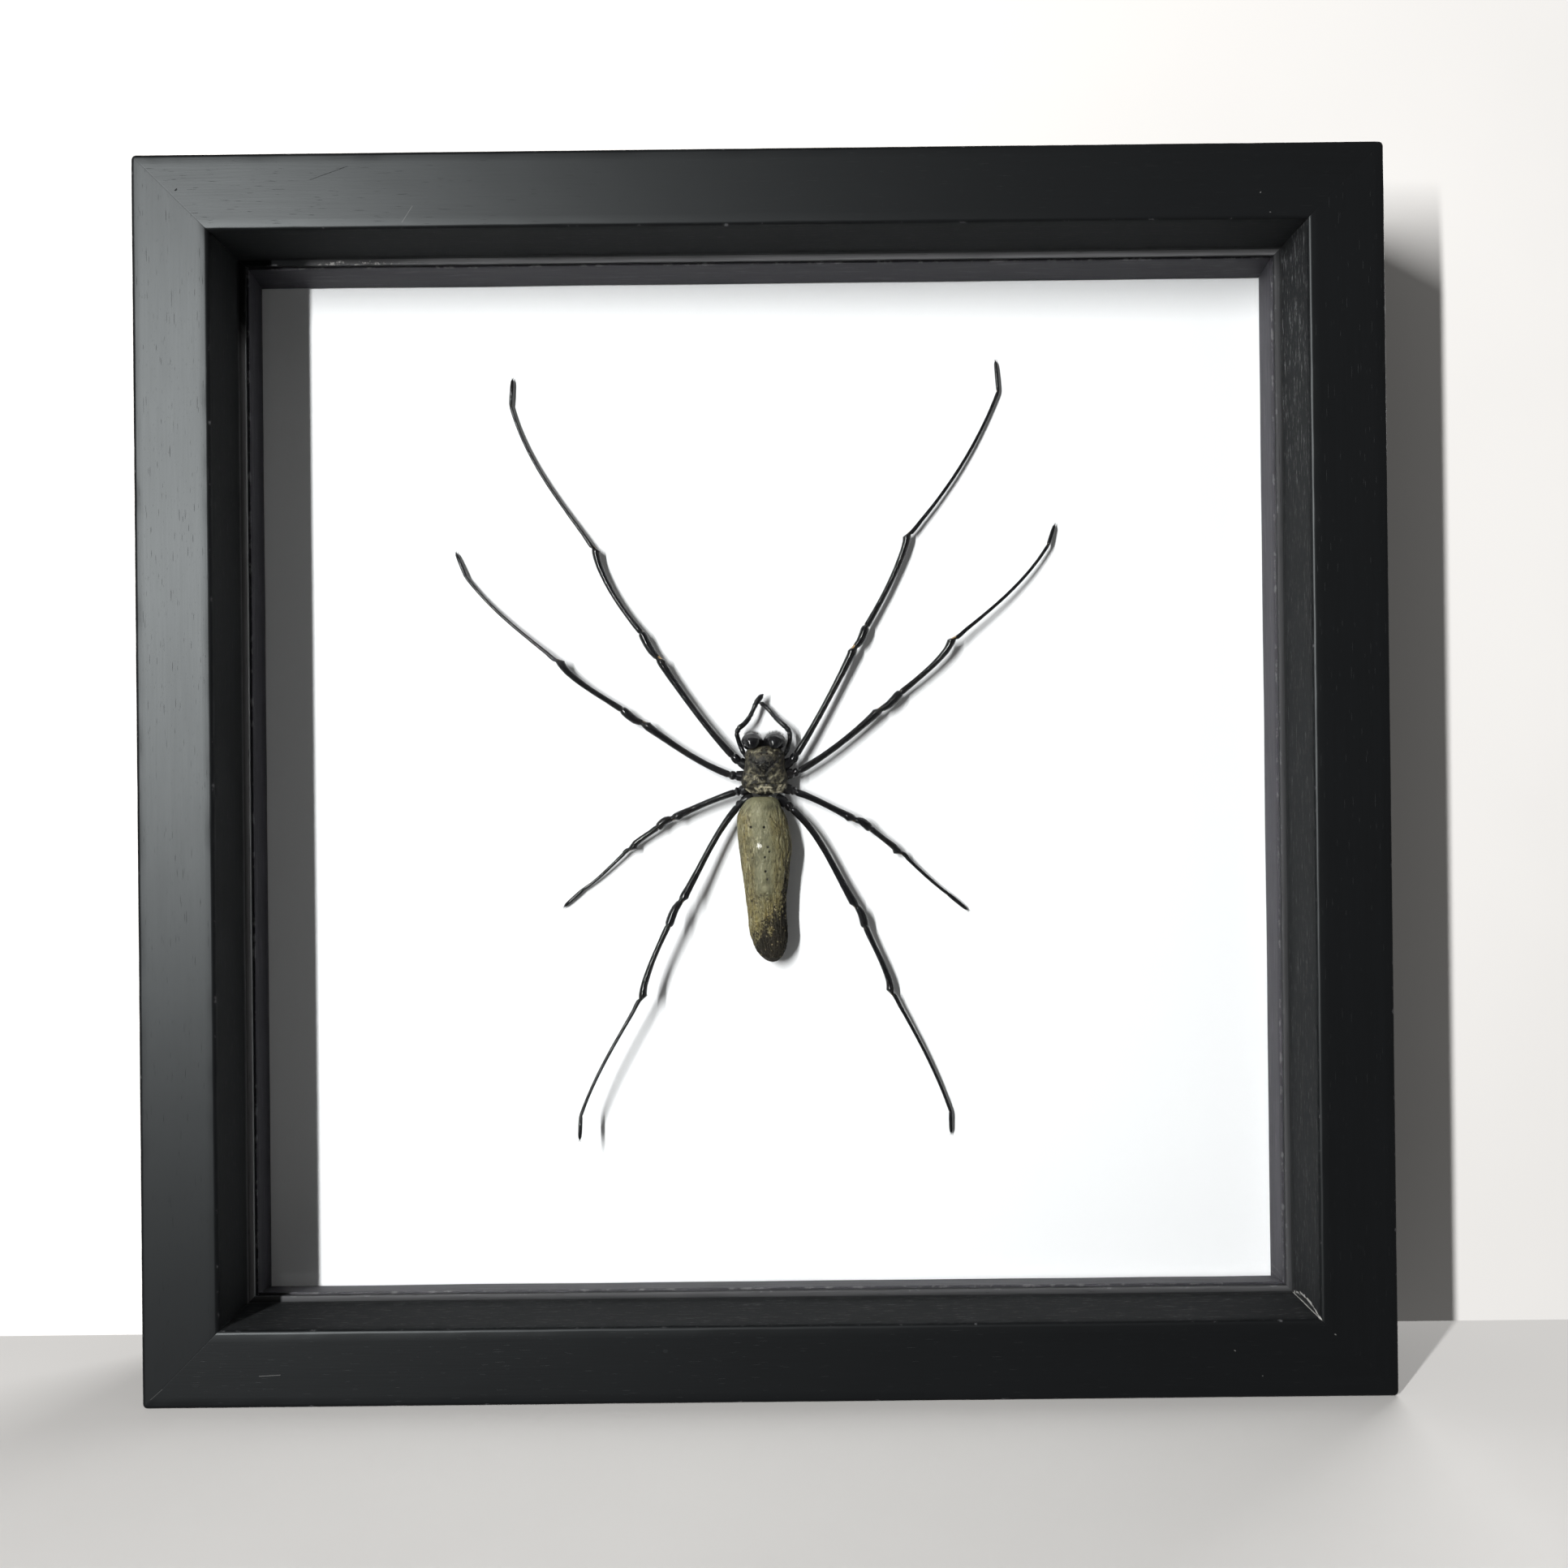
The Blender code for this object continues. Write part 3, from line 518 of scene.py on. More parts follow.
def wear_group(name):
    """Edge wear: the parts of a marked edge where the finish has gone."""
    inputs = (
        ("Edge", "Float", 0.0), ("Vector", "Vector", None), ("Amount", "Float", 0.5),
        ("Scale", "Float", 400.0),
    )
    tree, given, wanted = named_tree(name, "ShaderNodeTree", inputs, (("Mask", "Float"),))
    patches = grains(tree, given["Vector"], given["Scale"], detail=6.0, roughness=0.65)
    level = total(tree, patches, (given["Edge"], given["Amount"]))
    wire(tree, wanted["Mask"], ranged(tree, level, 0.9, 1.04))
    return tree


def speck_group(name):
    """Specks: sparse small spots such as dust, lint and pinholes."""
    inputs = (("Vector", "Vector", None), ("Scale", "Float", 120.0), ("Size", "Float", 0.05))
    tree, given, wanted = named_tree(name, "ShaderNodeTree", inputs, (("Mask", "Float"), ("Tone", "Float")))
    cells = put(tree, "ShaderNodeTexVoronoi", {"Vector": given["Vector"], "Scale": given["Scale"]})
    apart = put(tree, "ShaderNodeSeparateColor", {0: cells.outputs["Color"]}).outputs
    inside = maths(tree, "LESS_THAN", cells.outputs["Distance"], times(tree, apart[0], given["Size"]))
    kept = maths(tree, "GREATER_THAN", apart[1], 0.6)
    wire(tree, wanted["Mask"], times(tree, inside, kept))
    wire(tree, wanted["Tone"], apart[2])
    return tree


def scrape_group(name):
    """Scrape: a thin ragged mark between two points of the frame's face."""
    inputs = (
        ("Vector", "Vector", None), ("Start", "Vector", None), ("End", "Vector", None),
        ("Width", "Float", 0.0002), ("Ragged", "Float", 1.0),
    )
    tree, given, wanted = named_tree(name, "ShaderNodeTree", inputs, (("Mask", "Float"),))
    line = vector_maths(tree, "SUBTRACT", given["End"], given["Start"])
    away = vector_maths(tree, "SUBTRACT", given["Vector"], given["Start"])
    length = vector_maths(tree, "DOT_PRODUCT", line, line, "Value")
    share = maths(tree, "DIVIDE", vector_maths(tree, "DOT_PRODUCT", away, line, "Value"), length, clamp=True)
    beside = vector_maths(tree, "SUBTRACT", away, scaled(tree, line, share))
    gap = vector_maths(tree, "LENGTH", beside, (0.0, 0.0, 0.0), "Value")
    level = maths(tree, "DIVIDE", times(tree, gap, given["Ragged"]), given["Width"])
    wire(tree, wanted["Mask"], ranged(tree, level, 1.0, 0.6))
    return tree


GROUP_MAKERS = {
    "Wood Grain": grain_group, "Edge Wear": wear_group, "Specks": speck_group, "Scrape": scrape_group,
}


def use_group(tree, name, **inputs):
    """Place a node group, made the first time it is asked for, and give its outputs."""
    group = bpy.data.node_groups.get(name) or GROUP_MAKERS[name](name)
    return put(tree, "ShaderNodeGroup", inputs, node_tree=group).outputs


def new_material(name):
    """A material with its tree and its Principled shader."""
    made = bpy.data.materials.new(name)
    made.use_nodes = True
    return made, made.node_tree, made.node_tree.nodes["Principled BSDF"]


def feed(tree, shader, **sockets):
    """Link or set the shader's sockets; Base_Color stands for Base Color."""
    for key, value in sockets.items():
        wire(tree, shader.inputs[key.replace("_", " ")], value)


def relief(tree, shader, height, depth):
    """Raise a height map on the surface, depth in metres."""
    node = put(tree, "ShaderNodeBump", {"Height": height, "Distance": depth, "Strength": 1.0})
    tree.links.new(node.outputs[0], shader.inputs["Normal"])


def shine_through(tree, share, shader):
    """Let a share of the rays pass straight through a surface, and give the shader that takes them."""
    open_air = tree.nodes.new("ShaderNodeBsdfTransparent")
    both = put(tree, "ShaderNodeMixShader", {0: share, 1: shader.outputs[0], 2: open_air.outputs[0]})
    out = next(node for node in tree.nodes if node.type == "OUTPUT_MATERIAL")
    tree.links.new(both.outputs[0], out.inputs["Surface"])
    return open_air


SATIN_IOR = 1.33
PAINT_SHINE = (0.93, 0.99, 1.0, 1.0)
LEDGE_PAINT = (0.4, 0.4, 0.41)
CHIPPED_PAINT = (0.34, 0.335, 0.32)
PORE = (0.002, 0.002, 0.002)

# Marks on the rails' faces as (sideways, up) of both ends, half width and how light they are;
# the dark ones are dull instead
SCRAPES = (
    ((-101.6, -118.6), (-97.4, -118.4), 0.06, 0.075), ((-123.3, -123.1), (-120.9, -121.0), 0.05, 0.04),
    ((100.2, 114.8), (100.3, 114.9), 0.1, 0.09), ((102.1, 110.9), (102.2, 110.9), 0.09, 0.09),
    ((112.3, -112.5), (112.5, -112.6), 0.1, 0.1), ((97.8, -120.6), (97.9, -120.6), 0.08, 0.07),
    ((92.3, -115.5), (92.5, -115.6), 0.09, 0.09), ((-20.9, -114.5), (-20.6, -114.5), 0.3, 0.0),
    ((-110.2, -1.4), (-110.3, -9.5), 0.1, 0.0), ((-89.1, 119.5), (-81.7, 122.1), 0.05, 0.0),
    ((-116.0, 117.7), (-115.8, 117.9), 0.16, 0.0), ((-70.9, 110.8), (-68.8, 114.0), 0.06, 0.05),
)


def black_paint(look):
    """Satin black paint over wood: brush streaks along the rail, pores, rubbed edges and scratches."""
    made, tree, shader = new_material("Black Painted Wood")
    run = attribute(tree, "grain", "Vector")
    grain = use_group(tree, "Wood Grain", Vector=run)
    fine = use_group(tree, "Wood Grain", Vector=run, Scale=480.0, Stretch=7.0)
    worn = use_group(tree, "Edge Wear", Edge=attribute(tree, "edge"), Vector=run, Amount=look.wear)
    tone = total(tree, (grain["Streaks"], 0.6), (grains(tree, run, 38.0, detail=4.0), 0.4))
    ledge = times(tree, attribute(tree, "ledge"), ranged(tree, grain["Streaks"], 0.25, 0.75, 0.55, 1.0))
    rub = times(tree, fine["Scratches"], attribute(tree, "rub"), clamp=True)
    chipped = grains(tree, run, 900.0, detail=5.0, roughness=0.7)
    chips = ranged(tree, total(tree, chipped, (attribute(tree, "chip"), 0.5)), 0.74, 0.84)
    base = layered(
        tree, mixed(tree, ranged(tree, tone, 0.3, 0.7), shade(look.paint, 0.6), shade(look.paint)),
        (ledge, LEDGE_PAINT), (rub, shade(look.rub)), (times(tree, worn["Mask"], 0.5), shade(look.rub)),
        (chips, CHIPPED_PAINT), (times(tree, grain["Pores"], 0.6), PORE),
    )
    on_face = vector_maths(tree, "MULTIPLY", object_place(tree), (1.0, 0.0, 1.0))
    front = maths(tree, "SUBTRACT", 1.0, attribute(tree, "deep"))
    dull = times(tree, grain["Pores"], 0.35)
    ragged = times(tree, grains(tree, on_face, 5000.0), 1.6)
    for start, end, width, light in SCRAPES:
        first, last = ((point[0] * MM, 0.0, (HALF_SIDE + point[1]) * MM) for point in (start, end))
        marks = {"Start": first, "End": last, "Width": width * MM}
        scrape = use_group(tree, "Scrape", Vector=on_face, Ragged=ragged, **marks)
        mark = times(tree, scrape["Mask"], front)
        if light:
            base = mixed(tree, mark, base, (light, light, light * 0.97))
        else:
            dull = total(tree, dull, mark, clamp=True)

    rough = ranged(tree, tone, 0.25, 0.75, look.sheen + 0.012, look.sheen - 0.012)
    rough = total(tree, rough, (dull, 0.3), (attribute(tree, "wall"), 0.45), clamp=True)
    feed(tree, shader, Base_Color=base, Roughness=rough, IOR=SATIN_IOR, Specular_Tint=PAINT_SHINE)
    relief(tree, shader, total(tree, grain["Height"], (fine["Height"], 0.35), (chips, -0.8)), look.grain)
    return made


def clear_glass():
    """Plain clear glass that lets the lamps' light through."""
    made, tree, shader = new_material("Clear Glass")
    feed(tree, shader, Base_Color=(0.985, 0.995, 0.99, 1.0), Roughness=0.0, IOR=1.45, Transmission_Weight=1.0)
    path = tree.nodes.new("ShaderNodeLightPath")
    through = maths(tree, "MAXIMUM", path.outputs["Is Shadow Ray"], path.outputs["Is Diffuse Ray"])
    open_air = shine_through(tree, through, shader)
    open_air.inputs["Color"].default_value = (0.97, 0.975, 0.972, 1.0)
    return made


def dark_strip(look):
    """Dark violet-grey spacer strip with a fibrous cut face."""
    made, tree, shader = new_material("Dark Spacer Strip")
    run = attribute(tree, "grain", "Vector")
    grain = use_group(tree, "Wood Grain", Vector=run, Scale=120.0, Stretch=12.0)
    worn = use_group(tree, "Edge Wear", Edge=attribute(tree, "edge"), Vector=run, Amount=0.4)
    base = layered(
        tree, mixed(tree, grain["Streaks"], shade(look.strip, 0.55), shade(look.strip, 1.4)),
        (times(tree, worn["Mask"], 0.5), (0.15, 0.145, 0.15)),
        (times(tree, grain["Scratches"], 0.16), (0.22, 0.2, 0.23)),
    )
    rough = ranged(tree, grain["Streaks"], 0.2, 0.8, 0.55, 0.75)
    feed(tree, shader, Base_Color=base, Roughness=rough, IOR=SATIN_IOR)
    relief(tree, shader, grain["Height"], 0.00004)
    return made


def white_card(look):
    """Matt white card with a faint tooth and a few specks."""
    made, tree, shader = new_material("White Card")
    place = object_place(tree)
    tooth = grains(tree, place, 2600.0, detail=4.0)
    cloud = ranged(tree, grains(tree, place, 14.0), 0.3, 0.7)
    specks = use_group(tree, "Specks", Vector=place, Scale=42.0, Size=0.018)
    base = layered(
        tree, mixed(tree, cloud, shade(look.card), shade(look.card, 0.985)),
        (times(tree, tooth, 0.04), (0.7, 0.7, 0.74)),
        (times(tree, specks["Mask"], ranged(tree, specks["Tone"], 0.6, 0.95)), (0.3, 0.28, 0.27)),
    )
    feed(tree, shader, Base_Color=base, Roughness=0.85, Specular_IOR_Level=0.2)
    relief(tree, shader, tooth, 0.00002)
    return made


def brown_board(look):
    """Brown hardboard: pressed fibres, dark flecks and a slightly glazed face."""
    made, tree, shader = new_material("Brown Hardboard")
    place = object_place(tree)
    fibres = grains(tree, place, 520.0, detail=6.0, roughness=0.7, stretch=(1.0, 1.0, 2.2))
    cross = grains(tree, place, 480.0, detail=6.0, roughness=0.7, stretch=(2.4, 1.0, 1.0))
    cloud = grains(tree, place, 24.0, detail=4.0)
    specks = use_group(tree, "Specks", Vector=place, Scale=300.0, Size=0.3)
    mat = times(tree, total(tree, fibres, cross), 0.5)
    base = layered(
        tree, mixed(tree, ranged(tree, mat, 0.35, 0.65), shade(look.board, 0.45), shade(look.board)),
        (ranged(tree, cloud, 0.35, 0.7, 0.0, 0.35), shade(look.board, 1.5)),
        (times(tree, specks["Mask"], 0.7), (0.05, 0.028, 0.015)),
    )
    feed(tree, shader, Base_Color=base, Roughness=ranged(tree, mat, 0.3, 0.7, 0.8, 0.55))
    relief(tree, shader, mat, 0.00009)
    return made


def plated_steel():
    """Zinc-plated steel with fine scratches and dull spots."""
    made, tree, shader = new_material("Plated Steel")
    place = object_place(tree)
    scratches = grains(tree, place, 260.0, detail=4.0, stretch=(1.0, 1.0, 22.0))
    dull = ranged(tree, grains(tree, place, 420.0, detail=5.0, roughness=0.65), 0.52, 0.68)
    base = mixed(tree, scratches, (0.5, 0.5, 0.51), (0.68, 0.68, 0.67))
    base = mixed(tree, times(tree, dull, 0.5), base, (0.3, 0.29, 0.27))
    rough = total(tree, ranged(tree, scratches, 0.3, 0.7, 0.28, 0.42), (dull, 0.2))
    feed(tree, shader, Base_Color=base, Roughness=rough, Metallic=1.0)
    relief(tree, shader, scratches, 0.00002)
    return made


def black_chitin(look):
    """Glossy black chitin with pits and bumps, brown where it is thin, and tan skin in the joints."""
    made, tree, shader = new_material("Black Chitin")
    place = object_place(tree)
    bumps = grains(tree, place, 1500.0)
    fine = grains(tree, place, 6000.0, detail=2.0)
    joint = ranged(tree, attribute(tree, "membrane"), 0.25, 0.75)
    warmth = ranged(tree, grains(tree, place, 260.0, detail=2.0), 0.45, 0.75)
    black = mixed(tree, times(tree, warmth, 0.15), shade(look.chitin), (0.016, 0.009, 0.005))
    tan = mixed(tree, fine, shade(look.membrane, 0.6), shade(look.membrane, 1.15))
    rough = total(tree, ranged(tree, bumps, 0.3, 0.7, 0.07, 0.15), (joint, 0.3), clamp=True)
    feed(tree, shader, Base_Color=mixed(tree, joint, black, tan), Roughness=rough, Coat_Weight=0.08,
         Coat_Roughness=0.08, Specular_IOR_Level=0.45)
    relief(tree, shader, total(tree, bumps, (fine, 0.12)), 0.000018)
    return made


def granular_carapace(look):
    """Dark granular skin under the body hair, glossy black on the bare head patch, with painted shade in the
    furrows, under the brow, on the rear slope and round the rim.
    """
    made, tree, shader = new_material("Granular Carapace")
    place = object_place(tree)
    granules = grains(tree, place, 3000.0, detail=4.0, roughness=0.65)
    blotches = grains(tree, place, 1300.0, detail=4.0, roughness=0.65)
    bare = ranged(tree, attribute(tree, "bare"), 0.3, 0.7)
    # Painted shade: darker in the furrows by their depth, under the brow, on the rear slope and round the
    # rim.
    furrow = ranged(tree, attribute(tree, "furrow"), 0.1, 0.8)
    felt = times(tree, attribute(tree, "tuft"), ranged(tree, granules, 0.35, 0.55))
    dark, light = shade(look.carapace, 0.2), shade(look.carapace)
    base = layered(
        tree, mixed(tree, ranged(tree, granules, 0.4, 0.6), dark, light),
        (ranged(tree, blotches, 0.51, 0.58, 0.0, 0.8), shade(look.carapace, 2.9)),
        (ranged(tree, blotches, 0.5, 0.42, 0.0, 0.92), (0.004, 0.0035, 0.003)),
        (times(tree, furrow, 0.9), (0.005, 0.0045, 0.004)),
        (felt, (0.36, 0.33, 0.23)), (times(tree, bare, 0.85), (0.003, 0.003, 0.004)),
    )
    rough = ranged(tree, bare, 0.0, 1.0, 0.6, 0.26)
    feed(tree, shader, Base_Color=base, Roughness=rough, Specular_IOR_Level=0.18)
    height = total(tree, granules, (blotches, 1.2))
    relief(tree, shader, times(tree, height, ranged(tree, bare, 0.0, 1.0, 1.0, 0.3)), 0.00012)
    return made


def eye_gloss():
    """Polished dark eye with a faint brown depth."""
    made, tree, shader = new_material("Spider Eye")
    tint = mixed(tree, grains(tree, object_place(tree), 900.0), (0.004, 0.003, 0.003), (0.02, 0.012, 0.008))
    feed(tree, shader, Base_Color=tint, Roughness=0.06, Coat_Weight=0.6)
    return made


# The brown of the real dark dashes, also the colour of the painted shade in the creases.
DASH_BROWN_AND_CREASE_SHADE = (0.03, 0.023, 0.011)
SKIN_BLACK = (0.008, 0.0065, 0.005)
PIT_BLACK = (0.003, 0.002, 0.002)
REAR_DOT = (0.17, 0.145, 0.08)
FLECK_WHITE = (0.85, 0.82, 0.74)


def abdomen_skin(look):
    """Dried skin: olive with pale lengthwise lines, dark dashes, painted shade in the creases, and a black
    mottled rear.
    """
    made, tree, shader = new_material("Abdomen Skin")
    place = object_place(tree)
    crease, rear, flank, back, patch, pit, fleck = (
        attribute(tree, name) for name in ("crease", "rear", "flank", "back", "patch", "pit", "fleck")
    )
    fine = grains(tree, place, 2600.0, detail=5.0, roughness=0.7)
    streaks = grains(tree, place, 2500.0, detail=4.0, roughness=0.6, stretch=(1.0, 1.0, 0.16))
    dashes = grains(tree, place, 3000.0, detail=4.0, roughness=0.65, stretch=(1.0, 1.0, 0.36))
    medium = grains(tree, place, 620.0, detail=4.0, roughness=0.6, stretch=(1.0, 1.0, 0.35))
    broad = grains(tree, place, 190.0)
    cells = put(tree, "ShaderNodeTexVoronoi", {"Vector": place, "Scale": 1700.0})
    cell = put(tree, "ShaderNodeSeparateColor", {0: cells.outputs["Color"]}).outputs

    olive = shade(look.skin)
    pale = (olive[0] * 2.3, olive[1] * 2.25, olive[2] * 2.4)
    ochre = (olive[0] * 1.3, olive[1] * 1.14, olive[2] * 0.88)
    rust = (olive[0] * 1.15, olive[1] * 0.95, olive[2] * 0.55)
    clouds = ranged(tree, total(tree, (broad, 0.6), (medium, 0.4)), 0.4, 0.6)
    on_flank = times(tree, flank, ranged(tree, medium, 0.35, 0.6, 0.3, 1.0))
    on_back = times(tree, back, ranged(tree, medium, 0.4, 0.6, 0.45, 0.95))
    lined = maths(tree, "ADD", times(tree, flank, 0.5), 0.42, clamp=True)
    spotted = maths(tree, "ADD", total(tree, flank, back), 0.3, clamp=True)
    dark_dashes = times(tree, ranged(tree, dashes, 0.52, 0.62), 0.9)
    # Painted shade: the creases are darkened by their depth.
    painted_crease_shade = ranged(tree, total(tree, crease, (fine, 0.5)), 0.4, 0.85)
    uneven = total(tree, rear, (medium, 0.7), (fine, 2.2))
    blackened = ranged(tree, uneven, 1.81, 2.13)
    dot = maths(tree, "LESS_THAN", cells.outputs["Distance"], times(tree, cell[0], 0.36))
    kept = times(tree, maths(tree, "GREATER_THAN", cell[1], 0.5), ranged(tree, rear, 0.1, 0.4))
    base = layered(
        tree, mixed(tree, clouds, shade(olive, 0.68), shade(olive, 1.18)),
        (on_flank, ochre), (on_back, rust),
        (times(tree, ranged(tree, streaks, 0.54, 0.66), lined), pale),
        (times(tree, dark_dashes, spotted), DASH_BROWN_AND_CREASE_SHADE), (times(tree, painted_crease_shade, 0.5), DASH_BROWN_AND_CREASE_SHADE),
        (times(tree, patch, 0.6), pale), (times(tree, blackened, 0.96), SKIN_BLACK),
        (times(tree, dot, kept), REAR_DOT), (ranged(tree, pit, 0.15, 0.5), PIT_BLACK), (fleck, FLECK_WHITE),
    )
    rough = total(tree, ranged(tree, medium, 0.3, 0.7, 0.58, 0.4), (blackened, 0.3))
    feed(tree, shader, Base_Color=base, Roughness=rough, Specular_IOR_Level=0.16)
    relief(tree, shader, total(tree, (fine, 0.4), (streaks, 0.8), (dark_dashes, -0.3)), 0.00009)
    return made


def spider_hair(name, dark, pale):
    """Hair that runs from dark to pale by each hair's own tone."""
    made, tree, shader = new_material(name)
    tone = mixed(tree, attribute(tree, "tone"), dark, pale)
    feed(tree, shader, Base_Color=tone, Roughness=0.5, Specular_IOR_Level=0.2)
    return made


def stage_surface(look):
    """Pale matt stage that only the camera sees, and only from its front, so that no light bounces off it."""
    made, tree, shader = new_material("Pale Stage")
    tone = ranged(tree, grains(tree, object_place(tree), 9.0, detail=4.0), 0.3, 0.7)
    base = mixed(tree, tone, shade(look.surface), shade(look.surface, 0.97))
    feed(tree, shader, Base_Color=base, Roughness=0.9, Specular_IOR_Level=0.1)
    path = tree.nodes.new("ShaderNodeLightPath")
    faces = tree.nodes.new("ShaderNodeNewGeometry")
    front = maths(tree, "SUBTRACT", 1.0, faces.outputs["Backfacing"])
    seen = times(tree, path.outputs["Is Camera Ray"], front)
    shine_through(tree, maths(tree, "SUBTRACT", 1.0, seen), shader)
    return made


def placed(name, data):
    """A new object in the scene."""
    made = bpy.data.objects.new(name, data)
    bpy.context.scene.collection.objects.link(made)
    return made


class Shape:
    """Points in millimetres, faces and named values at the points, gathered for one piece.

    A value that a part doesn't name is zero on that part.
    """

    def __init__(self):
        self.points = []
        self.faces = []
        self.finishes = []
        self.values = {}

    def add(self, points, faces, finish=0, **values):
        """Add a part's points and faces; values holds one number or vector for each point."""
        first = len(self.points)
        self.points.extend(tuple(point) for point in points)
        self.faces.extend(tuple(first + corner for corner in face) for face in faces)
        self.finishes.extend([finish] * len(faces))
        for name in {**self.values, **values}:
            column = self.values.setdefault(name, {})
            for number, value in enumerate(values.get(name, ())):
                column[first + number] = value

    def piece(self, name, materials, sharp=35.0):
        """The finished mesh object, with outward faces and its place in its mesh."""
        mesh = bpy.data.meshes.new(name)
        mesh.from_pydata([tuple(c * MM for c in point) for point in self.points], [], self.faces)
        mesh.polygons.foreach_set("material_index", self.finishes)
        for label, column in self.values.items():
            sample = next(iter(column.values()))
            is_vector = hasattr(sample, "__len__")
            made = mesh.attributes.new(label, "FLOAT_VECTOR" if is_vector else "FLOAT", "POINT")
            table = np.zeros((len(self.points), 3 if is_vector else 1), np.float32)
            for number, value in column.items():
                table[number] = value
            made.data.foreach_set("vector" if is_vector else "value", table.ravel())
        tidy = bmesh.new()
        tidy.from_mesh(mesh)
        bmesh.ops.recalc_face_normals(tidy, faces=tidy.faces)
        if tidy.calc_volume(signed=True) < 0:
            bmesh.ops.reverse_faces(tidy, faces=tidy.faces)
        tidy.to_mesh(mesh)
        tidy.free()
        mesh.shade_smooth()
        mesh.set_sharp_from_angle(angle=math.radians(sharp))
        for material in materials:
            mesh.materials.append(material)
        return placed(name, mesh)


def declare(piece, slot, *nodes):
    """Ride on the frame and stand for the solids, which are hidden; the slot is not used."""
    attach(piece, BODY)
    if nodes:
        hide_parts(*nodes)
    return piece


def skin(rings, poles=True):
    """Points and faces of a closed skin over rings of equally many points, closed at both ends."""
    count = len(rings[0])
    points = [point for ring in rings for point in ring]
    faces = []
    for row in range(len(rings) - 1):
        for corner in range(count):
            after = (corner + 1) % count
            faces.append((row * count + corner, row * count + after,
                          (row + 1) * count + after, (row + 1) * count + corner))
    last = (len(rings) - 1) * count
    if poles:
        first_pole = len(points)
        points.extend(sum(map(Vector, ring), Vector()) / count for ring in (rings[0], rings[-1]))
        for corner in range(count):
            after = (corner + 1) % count
            faces.append((first_pole, after, corner))
            faces.append((first_pole + 1, last + corner, last + after))
    else:
        faces.append(tuple(range(count))[::-1])
        faces.append(tuple(range(last, last + count)))
    return points, faces


def note(values, **facts):
    """Put a point's facts into the columns of values."""
    for key, value in facts.items():
        values.setdefault(key, []).append(value)


def add_skin(shape, rings, values):
    """Add a closed skin to a shape; each pole takes the values of a point beside it."""
    points, faces = skin(rings)
    for column in values.values():
        column.extend([column[0], column[-1]])
    shape.add(points, faces, **values)


def angles_round(count):
    """So many even angles round a circle."""
    return [2 * math.pi * step / count for step in range(count)]


def frames_along(path, first_top):
    """Unit direction, side and top at each point of a path, turned as little as possible."""
    directions = []
    for index in range(len(path)):
        before = path[max(0, index - 1)]
        after = path[min(len(path) - 1, index + 1)]
        directions.append((after - before).normalized())
    found = []
    top = Vector(first_top)
    for direction in directions:
        top = (top - direction * top.dot(direction)).normalized()
        found.append((direction, direction.cross(top), top))
    return found


def eased_corner(centre, radius, first_angle, steps):
    """Points of a quarter circle, in the plane of a section."""
    angles = [math.radians(first_angle + 90.0 * step / steps) for step in range(steps + 1)]
    return [(centre[0] + radius * math.cos(angle), centre[1] + radius * math.sin(angle)) for angle in angles]


def divided(corners, longest):
    """A closed outline with its long sides cut into short ones."""
    points = []
    for start, end in zip(corners, corners[1:] + corners[:1]):
        length = math.dist(start, end)
        steps = max(1, math.ceil(length / longest))
        for step in range(steps):
            share = step / steps
            points.append((start[0] + (end[0] - start[0]) * share, start[1] + (end[1] - start[1]) * share))
    return points


def rail_section():
    """A rail's section as (inwards from the outer edge, depth from the front)."""
    lip_edge = FACE_WIDTH + LIP_WIDTH
    lip_back = LIP_DEPTH + LIP_THICKNESS
    small = 0.15
    corners = eased_corner((OUTER_EASE, OUTER_EASE), OUTER_EASE, 180, 6)
    corners += eased_corner((FACE_WIDTH - INNER_EASE, INNER_EASE), INNER_EASE, 270, 6)
    corners += [(FACE_WIDTH, LIP_DEPTH)]
    corners += eased_corner((lip_edge - small, LIP_DEPTH + small), small, 270, 2)
    corners += eased_corner((lip_edge - small, lip_back - small), small, 0, 2)
    corners += [(REAR_WALL, lip_back), (REAR_WALL, FRAME_DEPTH - small), (REAR_WALL - small, FRAME_DEPTH)]
    corners += eased_corner((OUTER_EASE, FRAME_DEPTH - OUTER_EASE), OUTER_EASE, 90, 6)
    return divided(corners, 1.6)


# Turn of each side against the bottom one, how much its inner wall is rubbed, and how pale its ledge is
RAIL_TURNS = {"bottom": 0, "left": 90, "top": 180, "right": 270}
RAIL_RUB = {"bottom": 0.28, "left": 0.08, "top": 0.1, "right": 1.0}
LEDGE_TONE = {"bottom": 0.2, "left": 0.9, "top": 0.5, "right": 0.15}
MITRE_GROOVE = 0.006
CORNER_ROUND = 1.0
EDGE_CORNERS = (
    (0, 0), (FACE_WIDTH, 0), (FACE_WIDTH + LIP_WIDTH, LIP_DEPTH), (0, FRAME_DEPTH), (REAR_WALL, FRAME_DEPTH),
)
EDGE_REACH = 1.3
END_STEPS = (0.0, 0.1, 0.3, 0.6, 1.0, 1.6, 2.4, 3.5, 5.0, 7.0)
END_REACH = 9.0


def turned(point, turn):
    """A point of the bottom rail, turned about the middle of the frame to another side."""
    centre = Vector((0.0, 0.0, HALF_SIDE))
    return Matrix.Rotation(math.radians(turn), 3, "Y") @ (Vector(point) - centre) + centre


def rail_stations(half):
    """Places along a rail from -1 to 1, close together near the mitres."""
    middle = np.linspace(-half + END_REACH, half - END_REACH, 90)
    places = [-half + step for step in END_STEPS] + list(middle)
    places += [half - step for step in reversed(END_STEPS)]
    return [place / half for place in places]


